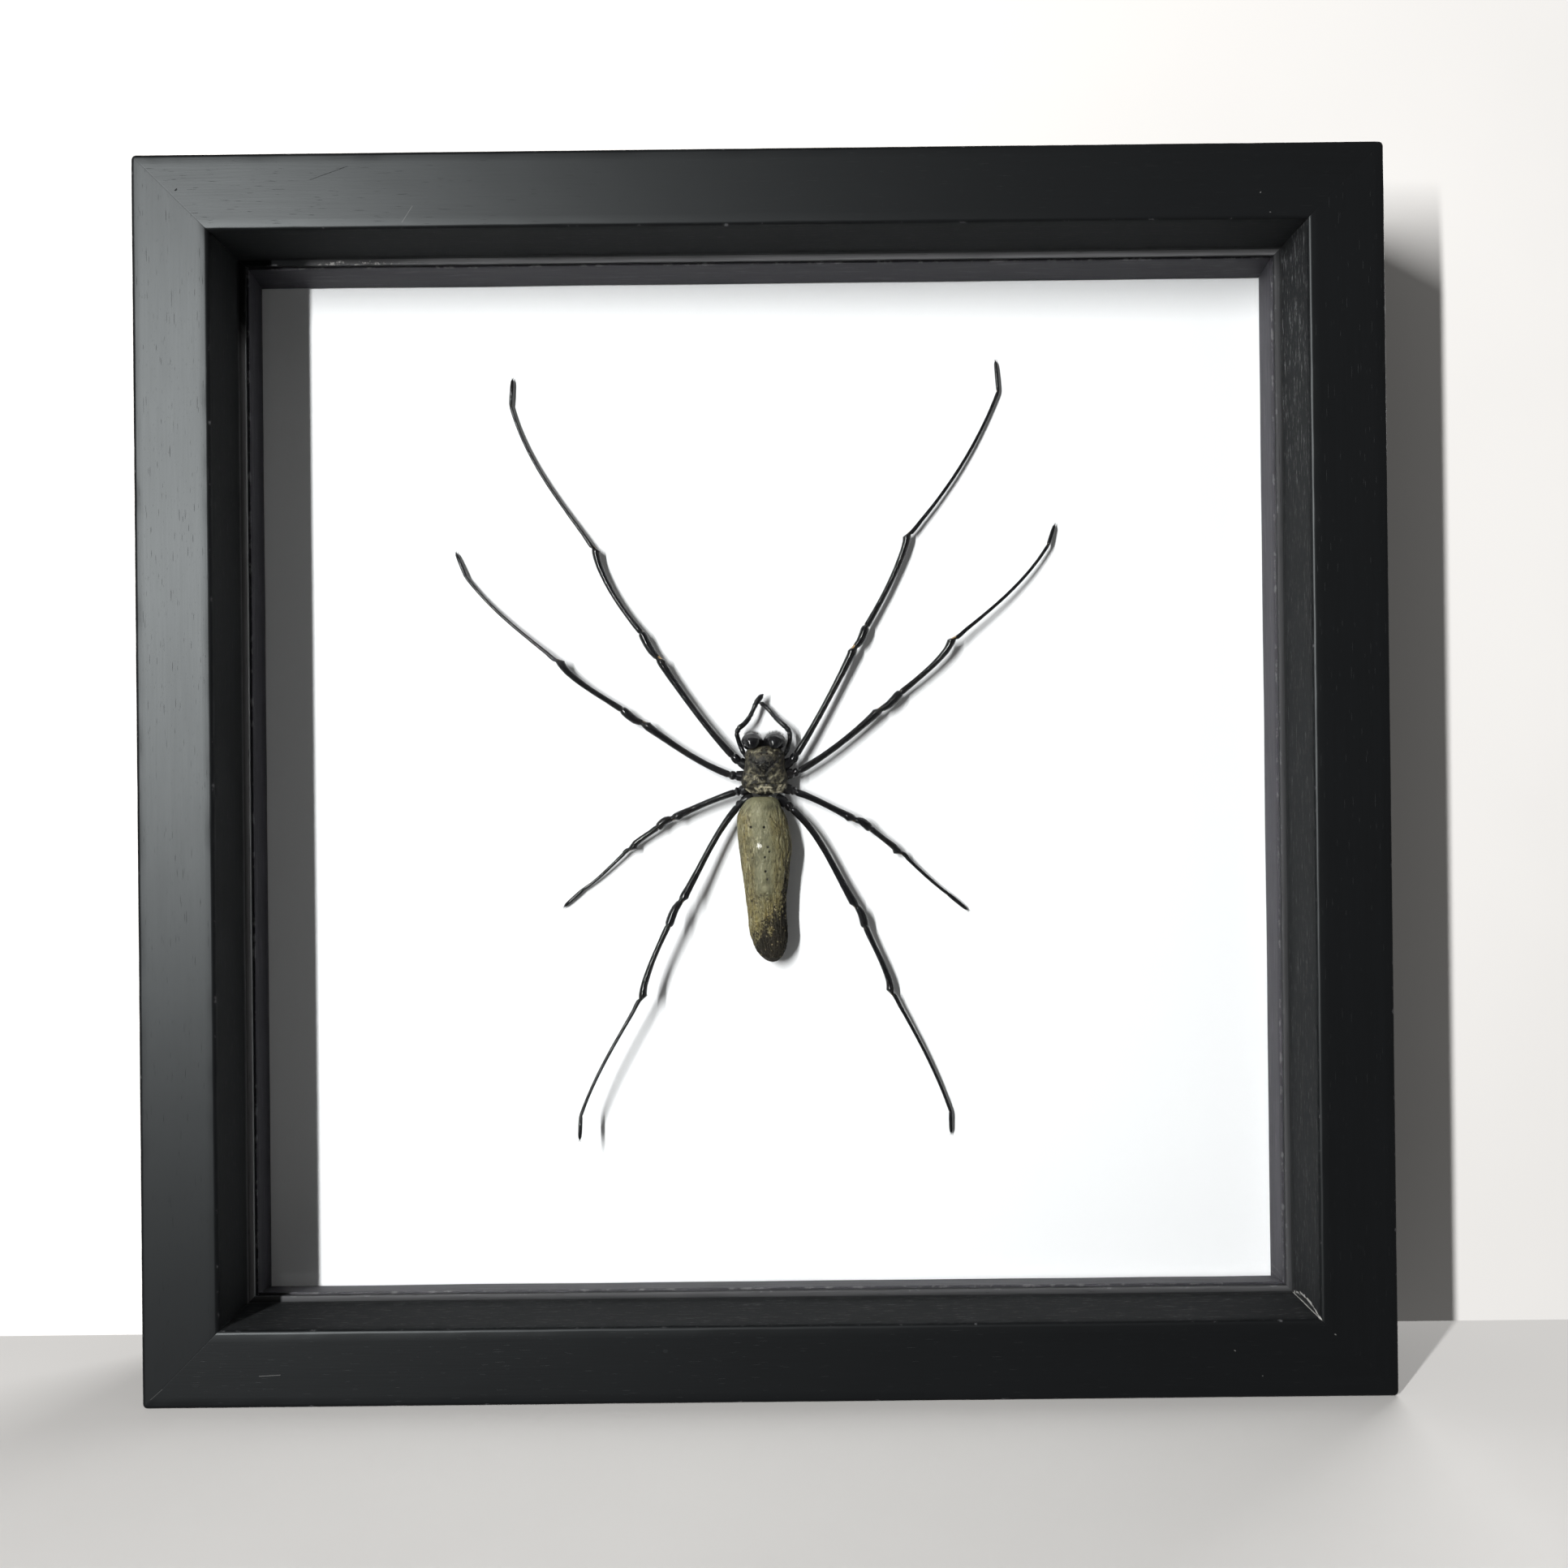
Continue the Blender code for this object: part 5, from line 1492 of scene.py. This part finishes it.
def abdomen_surface(angle, up, middle, across, lift):
    """Folds, pits and colour marks of the abdomen at a point."""
    place = across + middle
    height = math.sin(angle)
    above = spread(height, -0.1, 0.5)
    back = spread(up, -23.5, -29.5)
    flat_top = above * spread(abs(across), 3.2, 1.6) * (1.0 - 0.8 * back)
    ring_place = Vector((math.cos(angle) * 4.2, math.sin(angle) * 4.2, up * 0.11))
    warp = 0.35 * wave(math.cos(angle) * 1.3, math.sin(angle) * 1.3, up * 0.3)
    fold = bump(noise.noise(ring_place + Vector((warp, warp, 0.0))), 0.17)
    fine_place = Vector((math.cos(angle) * 8.5, math.sin(angle) * 8.5, up * 0.3 + 9.0))
    fine_fold = bump(noise.noise(fine_place + Vector((warp, 0.0, warp))), 0.16)
    end = spread(up, -4.8, -7.0) * spread(up, -40.0, -38.0)
    depth = (1.0 - 0.8 * flat_top) * end
    # The crease depth shapes the folds and also sets their painted shade in the colour.
    crease = depth * (0.75 * fold + 0.4 * fine_fold)
    lumps = wave(place * 0.5, lift * 0.5, up * 0.28 + 3.0)
    knobs = wave(place * 1.9, lift * 1.9, up * 1.9)
    out = -0.24 * crease + 0.2 * lumps * end + (0.05 + 0.09 * back) * knobs * end
    arc = bump(up - PALE_ARC + 0.05 * across * across - 0.5 * math.sin(across * 1.3), 0.9)
    arc *= above * spread(abs(across), 4.6, 3.8)
    arc *= 0.65 + 0.5 * wave(place * 2.0, up * 2.0, 6.0)
    out += 0.1 * arc
    pit = 0.0
    if height > 0:
        for dot_place, dot_up, size in SIGILLA:
            away = math.dist((place, up), (dot_place, dot_up))
            reach = SIGILLUM_RADIUS * (0.6 + 0.6 * size)
            pit = max(pit, min(1.0, size + 0.2) * spread(away, reach * 1.15, reach * 0.45))
    out -= SIGILLUM_DEPTH * pit
    fleck_away = math.dist((place, up), WHITE_FLECK)
    ragged = 0.5 * wave(place * 4.5, up * 2.2, 1.0)
    fleck = spread(fleck_away + ragged, WHITE_FLECK_RADIUS, WHITE_FLECK_RADIUS * 0.5) if height > 0 else 0.0
    belt_wave = 2.0 * wave(place * 0.8, up * 0.6, 5.0)
    belt = bump(up - DARK_BELT - 0.35 * across + belt_wave, DARK_BELT_HALF)
    right = spread(across, -1.7, 2.2)
    border = 1.15 * (across - 2.6) - 28.6 + 4.0 * wave(place * 0.55, up * 0.3, 9.0)
    rear = 0.72 * spread(up, border + 4.2, border - 4.4) + 0.3 * spread(up, -33.0, -38.0) + 0.2 * back
    # The right flank is darkened from the middle backwards: partly the real dark rear, partly painted shade
    # on the side turned away from the light.
    rear += 0.3 * belt * above + 0.5 * right * spread(across, 2.8, 4.6) * spread(up, -12.0, -20.0)
    rear += 0.45 * spread(height, 0.1, -0.6)
    flank = spread(abs(across + 0.4), 1.2, 3.2) * spread(up, -6.5, -9.0)
    patch = bump(math.dist((place, up), PALE_PATCH), PALE_PATCH_RADIUS) + 0.5 * arc
    wavy_line = bump(place + 1.6 - 0.35 * math.sin(up * 1.3), 0.3)
    patch += 0.35 * wavy_line * spread(up, -13.5, -15.0) * spread(up, -23.0, -21.5)
    facts = {
        "crease": min(1.0, crease), "rear": min(1.0, rear), "flank": flank, "back": back,
        "patch": min(1.0, patch) * above, "pit": pit, "fleck": fleck,
        "hair": 0.25 + 0.75 * spread(height, 0.2, -0.6), "pale": 0.35 * (1.0 - 0.9 * min(1.0, rear)),
        "long": 1.0, "lay": (0.0, -0.2, -1.0),
    }
    return out, facts


# Spinnerets: where each pair's roots lie up the body, their length and radius
SPINNERETS = ((-37.6, 1.5, 0.5), (-38.5, 1.2, 0.42))
SPINNERET_MIDDLE = 1.0


def add_spinnerets(shape):
    """The short cones under the tip of the abdomen."""
    looks = {
        "crease": 0.6, "rear": 1.0, "back": 1.0, "hair": 1.0, "pale": 0.1, "long": 1.0,
        "lay": (0.0, 0.3, -1.0),
    }
    for side in (-1, 1):
        for root_up, length, radius in SPINNERETS:
            path = (
                (SPINNERET_MIDDLE + side * 0.5, root_up + 0.6, 3.3),
                (SPINNERET_MIDDLE + side * 0.6, root_up - length * 0.35, 2.7),
                (SPINNERET_MIDDLE + side * 0.62, root_up - length * 0.8, 2.35),
                (SPINNERET_MIDDLE + side * 0.6, root_up - length, 2.2),
            )
            add_tube(shape, path, (radius * 1.1, radius, radius * 0.75, radius * 0.2), 12, **looks)


def add_tube(shape, path, radii, sides, **values):
    """A closed tube along points given as (sideways, up, off the card), with the same values all over."""
    centres = [off_card(*point) for point in path]
    rings = []
    for centre, radius, (_, side, top) in zip(centres, radii, frames_along(centres, (0.0, -1.0, 0.3))):
        rings.append([centre + (side * math.cos(angle) + top * math.sin(angle)) * radius
                      for angle in angles_round(sides)])
    points, faces = skin(rings)
    shape.add(points, faces, **{key: [value] * len(points) for key, value in values.items()})


def leg_places(length, rows):
    """Places along a segment where rings stand, close together near its joints."""
    places = {min(max(share * length + more, 0.0), length) for share, more, _, _, _ in rows}
    reach = min(JOINT_REACH, length * 0.4)
    places.update(np.arange(0.05, reach, JOINT_STEP))
    places.update(np.arange(length - reach, length, JOINT_STEP))
    places.update(np.arange(reach, length - reach, RING_STEP))
    kept = []
    for place in sorted(places):
        if not kept or place - kept[-1] > 0.04:
            kept.append(float(place))
    return kept


def leg_rings(joints, bows):
    """Centre, radius, joint skin, sideways move, end slant, segment and place in it of a leg's rings."""
    points = [Vector(joint) for joint in joints]
    inside = Vector((0.0, points[0].y * 0.7, BODY_LIFT))
    points[0] += (inside - points[0]).normalized() * COXA_REACH
    found = []
    for number, rows in enumerate(SEGMENTS):
        start, end = points[number], points[number + 1]
        line = end - start
        left = Vector((-line.y, line.x, 0.0)).normalized()
        bow, skew = bows[BOWED[number]] if number in BOWED else (0.0, 0.0)
        length = line.length
        table = np.array([(share * length + more, *facts) for share, more, *facts in rows])
        for place in leg_places(length, rows):
            share = place / length
            off_line = 4.0 * share * (1.0 - share) * (bow + skew * (2.0 * share - 1.0))
            centre = start + line * share + left * off_line
            radius, soft, shift = (float(np.interp(place, table[:, 0], column)) for column in table.T[1:])
            slant = SLANT.get(number, 0.0) * spread(place, length - SLANT_REACH, length - 0.55)
            slant *= spread(place, length, length - 0.5)
            found.append((centre, radius, soft, shift, slant, number, share))
    return found


def build_leg(name, material):
    """One leg as a single skin from the coxa to the claws."""
    rings_wanted = leg_rings(LEGS[name]["joints"], LEGS[name]["bows"])
    centres = [off_card(*ring[0]) for ring in rings_wanted]
    frames = frames_along(centres, (0.0, -1.0, 0.0))
    inward_x = 1.0 if "left" in name else -1.0
    rings, values = [], {}
    offset = sum(map(ord, name))
    for wanted, at, (direction, side, top) in zip(rings_wanted, centres, frames):
        _, radius, soft, shift, slant, number, share = wanted
        bending = side if side.x * inward_x > 0 else -side
        ring = []
        for angle in angles_round(LEG_SIDES):
            out = bending * math.cos(angle) + top * math.sin(angle)
            uneven = 1.0 + 0.045 * noise.noise((at + out * radius) * 0.9 + Vector((offset, 0, 0)))
            point = at + bending * shift + out * radius * uneven
            point -= direction * slant * radius * (0.5 + 0.5 * math.cos(angle))
            ring.append(point)
            joint = number if share >= 0.5 else number - 1
            tan = 1.0 if joint in TAN_JOINTS.get(name, ()) else 0.3 if joint < 2 else 0.42
            note(values, membrane=tan * soft * (0.25 + 0.75 * spread(math.cos(angle), 0.1, 0.7)),
                 hair=(1.0 - soft) * (0.4 if number < 2 else 1.0) * (1.8 if number > 4 else 1.0),
                 pale=0.12, long=0.75 if number > 4 else 1.0, lay=tuple(direction))
        if bending != side:
            ring = ring[::-1]
            for column in values.values():
                column[-LEG_SIDES:] = column[-LEG_SIDES:][::-1]
        rings.append(ring)
    shape = Shape()
    add_skin(shape, rings, values)
    tip = Vector(LEGS[name]["joints"][-1])
    heading = (tip - Vector(LEGS[name]["joints"][-2])).normalized()
    across = Vector((-heading.y, heading.x, 0.0))
    for side in (-1, 1):
        path = [tip + heading * (CLAW_LENGTH * share) + across * (side * (0.06 + 0.18 * share))
                + Vector((0, 0, -0.4 * share * share)) for share in (-0.5, 0.0, 0.35, 0.7, 1.0)]
        radii = [CLAW_RADIUS * (1.05 - share) for share in (0.0, 0.05, 0.35, 0.7, 1.0)]
        add_tube(shape, path, radii, 8)
    return shape.piece(name, [material], sharp=60.0)


def build_palp(name, rows, material):
    """A feeler as one skin, nipped in at its joints and hairy on its inner side."""
    smooth = smooth_rows(rows, PALP_RINGS)
    joints = [Vector(rows[number][:3]) for number in PALP_JOINTS]
    centres = [off_card(*row[:3]) for row in smooth]
    frames = frames_along(centres, (0.0, -1.0, 0.0))
    inward_x = 1.0 if "left" in name else -1.0
    rings, values = [], {}
    for number, (row, at, (direction, side, top)) in enumerate(zip(smooth, centres, frames)):
        near = min((Vector(row[:3]) - joint).length for joint in joints)
        nip = bump(near, 0.22)
        swell = bump(near - 0.5, 0.4)
        end = spread(number, len(smooth) - 1, len(smooth) - 8) * 0.5 + 0.5
        radius = max(0.05, row[3]) * (1.0 - 0.16 * nip + 0.08 * swell) * end
        ring = []
        share = number / (len(smooth) - 1)
        for angle in angles_round(PALP_SIDES):
            out = side * math.cos(angle) + top * math.sin(angle)
            ring.append(at + out * radius)
            facing_in = max(0.0, out.x * inward_x)
            note(values, membrane=0.3 * nip,
                 hair=(0.5 + 1.3 * facing_in + share) * (1.0 - nip) * spread(share, 0.06, 0.15),
                 pale=0.1, long=0.6 + facing_in, lay=tuple((direction + out * 0.5).normalized()))
        rings.append(ring)
    shape = Shape()
    add_skin(shape, rings, values)
    return shape.piece(name, [material], sharp=60.0)


def build_chelicera(name, side, material):
    """A jaw: a swollen base with a fold before its curved fang."""
    rows = [(HEAD_MIDDLE + side * across, up, lift, radius) for across, up, lift, radius in CHELICERA]
    smooth = smooth_rows(rows, JAW_RINGS)
    centres = [off_card(*row[:3]) for row in smooth]
    frames = frames_along(centres, (0.0, -1.0, 0.4))
    rings, values = [], {}
    for number, (row, at, (_, sideways, top)) in enumerate(zip(smooth, centres, frames)):
        share = number / (len(smooth) - 1)
        groove = bump(share - 0.72, 0.03)
        radius = max(0.02, row[3]) * (1.0 - 0.15 * groove)
        broad = spread(row[3], 0.7, 1.6)
        ring = []
        for angle in angles_round(JAW_SIDES):
            out = sideways * math.cos(angle) + top * math.sin(angle)
            meet = 0.2 * broad * bump(math.atan2(out.z, -side * out.x) + 0.45, 0.9)
            wide = Vector((out.x * (1.0 + 0.14 * broad), out.y, out.z * (1.0 - 0.04 * broad)))
            rim = at + out * radius
            lump = noise.noise(rim * 0.9) * 0.09 + noise.noise(rim * 2.6) * 0.035
            ring.append(at + wide * radius * (1.0 + meet + lump * broad))
            fringe = max(0.0, out.z) * spread(share, 0.3, 0.45) * spread(share, 0.68, 0.58)
            note(values, membrane=0.0, hair=0.04 + 3.2 * spread(fringe, 0.35, 0.8) if share < 0.7 else 0.0,
                 pale=0.08 + 0.2 * fringe, long=0.6 + 0.6 * fringe,
                 lay=tuple(Vector((out.x * 0.5, 0.25, 1.0)).normalized()))
        rings.append(ring)
    shape = Shape()
    add_skin(shape, rings, values)
    return shape.piece(name, [material], sharp=60.0)


class SPECIMEN_OT_rails(bpy.types.Operator):
    """Build the four mitred rails of the box frame"""

    bl_idname = "specimen.rails"
    bl_label = "Rails"

    def execute(self, context):
        paint = black_paint(context.scene.specimen_frame)
        section = rail_section()
        for side in RAIL_TURNS:
            rail = build_rail(side, section, paint)
            if side == "top":
                cut_pocket(rail)
            declare(rail, "black_paint", "rail_" + side)
        return {"FINISHED"}


class SPECIMEN_OT_sheets(bpy.types.Operator):
    """Build the spacer strips and finish the glass, the card and the back board"""

    bl_idname = "specimen.sheets"
    bl_label = "Glass, Strips, Card And Board"

    def execute(self, context):
        look = context.scene.specimen_frame
        strip = dark_strip(look)
        for side in ("left", "right", "top", "bottom"):
            declare(build_strip(side, strip), "dark_strip", "spacer_" + side)
        card, board = white_card(look), brown_board(look)
        sheets = {"glass_pane": clear_glass(), "backing_card": card, "back_board": board}
        for name, material in sheets.items():
            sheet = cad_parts[name]
            sheet.data.materials.clear()
            sheet.data.materials.append(material)
        return {"FINISHED"}


class SPECIMEN_OT_fittings(bpy.types.Operator):
    """Build the tabs that hold the board, the sawtooth hanger and its screws"""

    bl_idname = "specimen.fittings"
    bl_label = "Tabs And Hanger"

    def execute(self, context):
        steel = plated_steel()
        tab = plate_piece("tabs", tab_outline(), TAB_LOW.y, TAB_HIGH.y - TAB_LOW.y, 0.12, steel)
        sizes = {"From Middle": abs(TAB_LOW.x + TAB_HIGH.x) / 2 * MM, "Centre Height": HALF_SIDE * MM}
        grown(tab, tab_tree(), {**sizes, "Material": steel})
        declare(tab, "steel", *[f"tab_{number}" for number in range(1, 9)])
        plate = plate_piece("hanger", hanger_outline(), PLATE_LOW.y, PLATE_HIGH.y - PLATE_LOW.y, 0.15, steel)
        declare(plate, "steel", "hanger")
        height = (SCREW_LOW.z + SCREW_HIGH.z) / 2
        across = (SCREW_LOW.x + SCREW_HIGH.x) / 2
        for name, place in (("hanger_screw_left", -across), ("hanger_screw_right", across)):
            shape = Shape()
            shape.add(*screw_shape(place, height, PLATE_HIGH.y, SCREW_HIGH.y))
            declare(shape.piece(name, [steel]), "steel", name)
        return {"FINISHED"}


class SPECIMEN_OT_body(bpy.types.Operator):
    """Build the front body with its eyes and hair, and the wrinkled abdomen"""

    bl_idname = "specimen.body"
    bl_label = "Body"

    def execute(self, context):
        look = context.scene.specimen_spider
        hair = spider_hair("Body Hair", *BODY_HAIR)
        shape = Shape()
        add_sectioned(shape, CEPHALOTHORAX, FRONT_RINGS, FRONT_SIDES, carapace_surface)
        for across, up, radius in EYES:
            for side in (-1, 1):
                place = HEAD_MIDDLE / 2 + side * across
                centre = off_card(place, up, top_lift(CEPHALOTHORAX, place, up) - radius * 0.25)
                add_ball(shape, centre, radius, 1)
        front = shape.piece("cephalothorax", [granular_carapace(look), eye_gloss()], sharp=60.0)
        declare(front, "carapace", "cephalothorax")
        hairs_on(front, "hair_cephalothorax", "carapace", hair, "front body", look)
        tufts = spider_hair("Tuft Hair", *TUFT_HAIR)
        hairs_on(front, "tufts_cephalothorax", "carapace", tufts, "tufts", look, field="tuft")

        shape = Shape()
        add_sectioned(shape, ABDOMEN, ABDOMEN_RINGS, ABDOMEN_SIDES, abdomen_surface)
        add_spinnerets(shape)
        abdomen = shape.piece("abdomen", [abdomen_skin(look)], sharp=60.0)
        declare(abdomen, "abdomen_skin", "abdomen")
        hairs_on(abdomen, "hair_abdomen", "abdomen_skin", hair, "abdomen", look)
        return {"FINISHED"}


class SPECIMEN_OT_mouthparts(bpy.types.Operator):
    """Build the two jaws and the two feelers with their hair"""

    bl_idname = "specimen.mouthparts"
    bl_label = "Jaws And Feelers"

    def execute(self, context):
        look = context.scene.specimen_spider
        chitin = bpy.data.materials.get("Black Chitin") or black_chitin(look)
        hair = spider_hair("Dark Hair", *DARK_HAIR)
        for name, side in (("chelicera_left", -1), ("chelicera_right", 1)):
            jaw = declare(build_chelicera(name, side, chitin), "black_chitin", name)
            hairs_on(jaw, "hair_" + name, "black_chitin", hair, "jaw", look)
        for name, rows in (("palp_left", PALP_LEFT), ("palp_right", PALP_RIGHT)):
            palp = declare(build_palp(name, rows, chitin), "black_chitin", name)
            hairs_on(palp, "hair_" + name, "black_chitin", hair, "feeler", look)
        return {"FINISHED"}


class SPECIMEN_OT_legs(bpy.types.Operator):
    """Build the eight legs with their fine hairs"""

    bl_idname = "specimen.legs"
    bl_label = "Legs"

    def execute(self, context):
        look = context.scene.specimen_spider
        chitin = bpy.data.materials.get("Black Chitin") or black_chitin(look)
        hair = spider_hair("Leg Hair", *LEG_HAIR)
        for number, name in enumerate(LEGS):
            leg = declare(build_leg(name, chitin), "black_chitin", name)
            hairs_on(leg, "hair_" + name, "black_chitin", hair, "leg", look, seed=SEED + number)
        return {"FINISHED"}


WALL_GAP = 2.5
FLOOR_GAP = 0.02
STAGE_REACH = 2600.0
WINDOW_PLACE = (-447.0, -900.0, 192.0)
WINDOW_WIDTH, WINDOW_HEIGHT = 26.0, 500.0
REAR_PLACE = (500.0, 900.0, 700.0)
REAR_SIZE, REAR_POWER = 700.0, 9.0
ROOM_COLOUR = (1.0, 0.99, 0.975, 1.0)
SEEN_ROOM = 0.8
# The room gets dark in front of the glass, between these two values of a direction's Y, to this share
DARK_SIDE = (-0.96, -0.86)
DARK_SHARE = 0.1


def build_stage(look):
    """A pale floor, and a backdrop close behind the frame that is see-through from behind."""
    wall_y = (-FRONT_Y + WALL_GAP) * MM
    reach = STAGE_REACH * MM
    low = -FLOOR_GAP * MM
    surface = stage_surface(look)
    sheets = {
        "backdrop": [(-reach, wall_y, 0), (reach, wall_y, 0), (reach, wall_y, reach),
                     (-reach, wall_y, reach)],
        "floor": [(-reach, -reach, low), (reach, -reach, low), (reach, reach, low), (-reach, reach, low)],
    }
    for name, corners in sheets.items():
        mesh = bpy.data.meshes.new(name)
        mesh.from_pydata(corners, [], [(0, 1, 2, 3)])
        mesh.materials.append(surface)
        placed(name, mesh)


def area_light(name, place, width, height, power):
    """A rectangular light in millimetres that faces the middle of the frame."""
    data = bpy.data.lights.new(name, "AREA")
    data.shape = "RECTANGLE"
    data.size = width * MM
    data.size_y = height * MM
    data.energy = power
    made = placed(name, data)
    made.location = Vector(place) * MM
    away = Vector(place) - Vector((0.0, 0.0, HALF_SIDE))
    made.rotation_euler = away.to_track_quat("Z", "Y").to_euler()


def room_world(look):
    """Even light from all round, darker in front of the glass and brighter where the camera sees it."""
    world = bpy.data.worlds.new("room")
    world.use_nodes = True
    tree = world.node_tree
    back = tree.nodes["Background"]
    back.inputs["Color"].default_value = ROOM_COLOUR
    way = put(tree, "ShaderNodeSeparateXYZ", {0: tree.nodes.new("ShaderNodeTexCoord").outputs["Generated"]})
    lit = times(tree, ranged(tree, way.outputs["Y"], *DARK_SIDE, DARK_SHARE, 1.0), look.room)
    path = tree.nodes.new("ShaderNodeLightPath")
    wire(tree, back.inputs["Strength"], ranged(tree, path.outputs["Is Camera Ray"], 0.0, 1.0, lit, SEEN_ROOM))
    return world


def photo_camera():
    """A camera at the photograph's place and viewing angle."""
    data = bpy.data.cameras.new("camera")
    data.sensor_width = SENSOR
    data.lens = SENSOR * FOCAL_PIXELS / IMAGE_SIZE
    data.clip_start = 0.01
    made = placed("camera", data)
    yaw, pitch, roll = (math.radians(angle) for angle in (CAMERA_YAW, CAMERA_PITCH, CAMERA_ROLL))
    turn = Matrix.Rotation(yaw, 4, "Z") @ Matrix.Rotation(math.radians(90) + pitch, 4, "X")
    turn = turn @ Matrix.Rotation(roll, 4, "Z")
    made.matrix_world = Matrix.Translation(Vector(CAMERA_PLACE) * MM) @ turn
    return made


class SPECIMEN_OT_stage(bpy.types.Operator):
    """Set up the pale stage, the window light, the room light and the camera"""

    bl_idname = "specimen.stage"
    bl_label = "Stage"

    def execute(self, context):
        look = context.scene.specimen_stage
        build_stage(look)
        window = (WINDOW_PLACE[0], FRONT_Y + WINDOW_PLACE[1], HALF_SIDE + WINDOW_PLACE[2])
        area_light("window", window, WINDOW_WIDTH, WINDOW_HEIGHT, look.window)
        area_light("behind", REAR_PLACE, REAR_SIZE, REAR_SIZE, REAR_POWER)
        context.scene.world = room_world(look)
        context.scene.view_settings.view_transform = "Standard"
        context.scene.camera = photo_camera()
        return {"FINISHED"}


class SPECIMEN_PT_panel(bpy.types.Panel):
    """Steps that dress the framed spider"""

    bl_label = "Framed Spider"
    bl_idname = "SPECIMEN_PT_panel"
    bl_space_type = "VIEW_3D"
    bl_region_type = "UI"
    bl_category = "Specimen"

    def draw(self, context):
        for name, kind in LOOKS.items():
            box = self.layout.box()
            for setting in kind.__annotations__:
                box.prop(getattr(context.scene, name), setting)
        for step in STEPS:
            self.layout.operator(step.bl_idname)


STEPS = (SPECIMEN_OT_rails, SPECIMEN_OT_sheets, SPECIMEN_OT_fittings, SPECIMEN_OT_body,
         SPECIMEN_OT_mouthparts, SPECIMEN_OT_legs, SPECIMEN_OT_stage)
LOOKS = {"specimen_frame": FrameLook, "specimen_spider": SpiderLook, "specimen_stage": StageLook}
CLASSES = (*LOOKS.values(), *STEPS, SPECIMEN_PT_panel)


def register():
    for item in CLASSES:
        bpy.utils.register_class(item)
    for name, kind in LOOKS.items():
        setattr(bpy.types.Scene, name, bpy.props.PointerProperty(type=kind))


def unregister():
    for name in LOOKS:
        delattr(bpy.types.Scene, name)
    for item in reversed(CLASSES):
        bpy.utils.unregister_class(item)


def main():
    register()
    bpy.ops.specimen.rails()
    bpy.ops.specimen.sheets()
    bpy.ops.specimen.fittings()
    bpy.ops.specimen.body()
    bpy.ops.specimen.mouthparts()
    bpy.ops.specimen.legs()
    bpy.ops.specimen.stage()


if __name__ == "__main__":
    main()
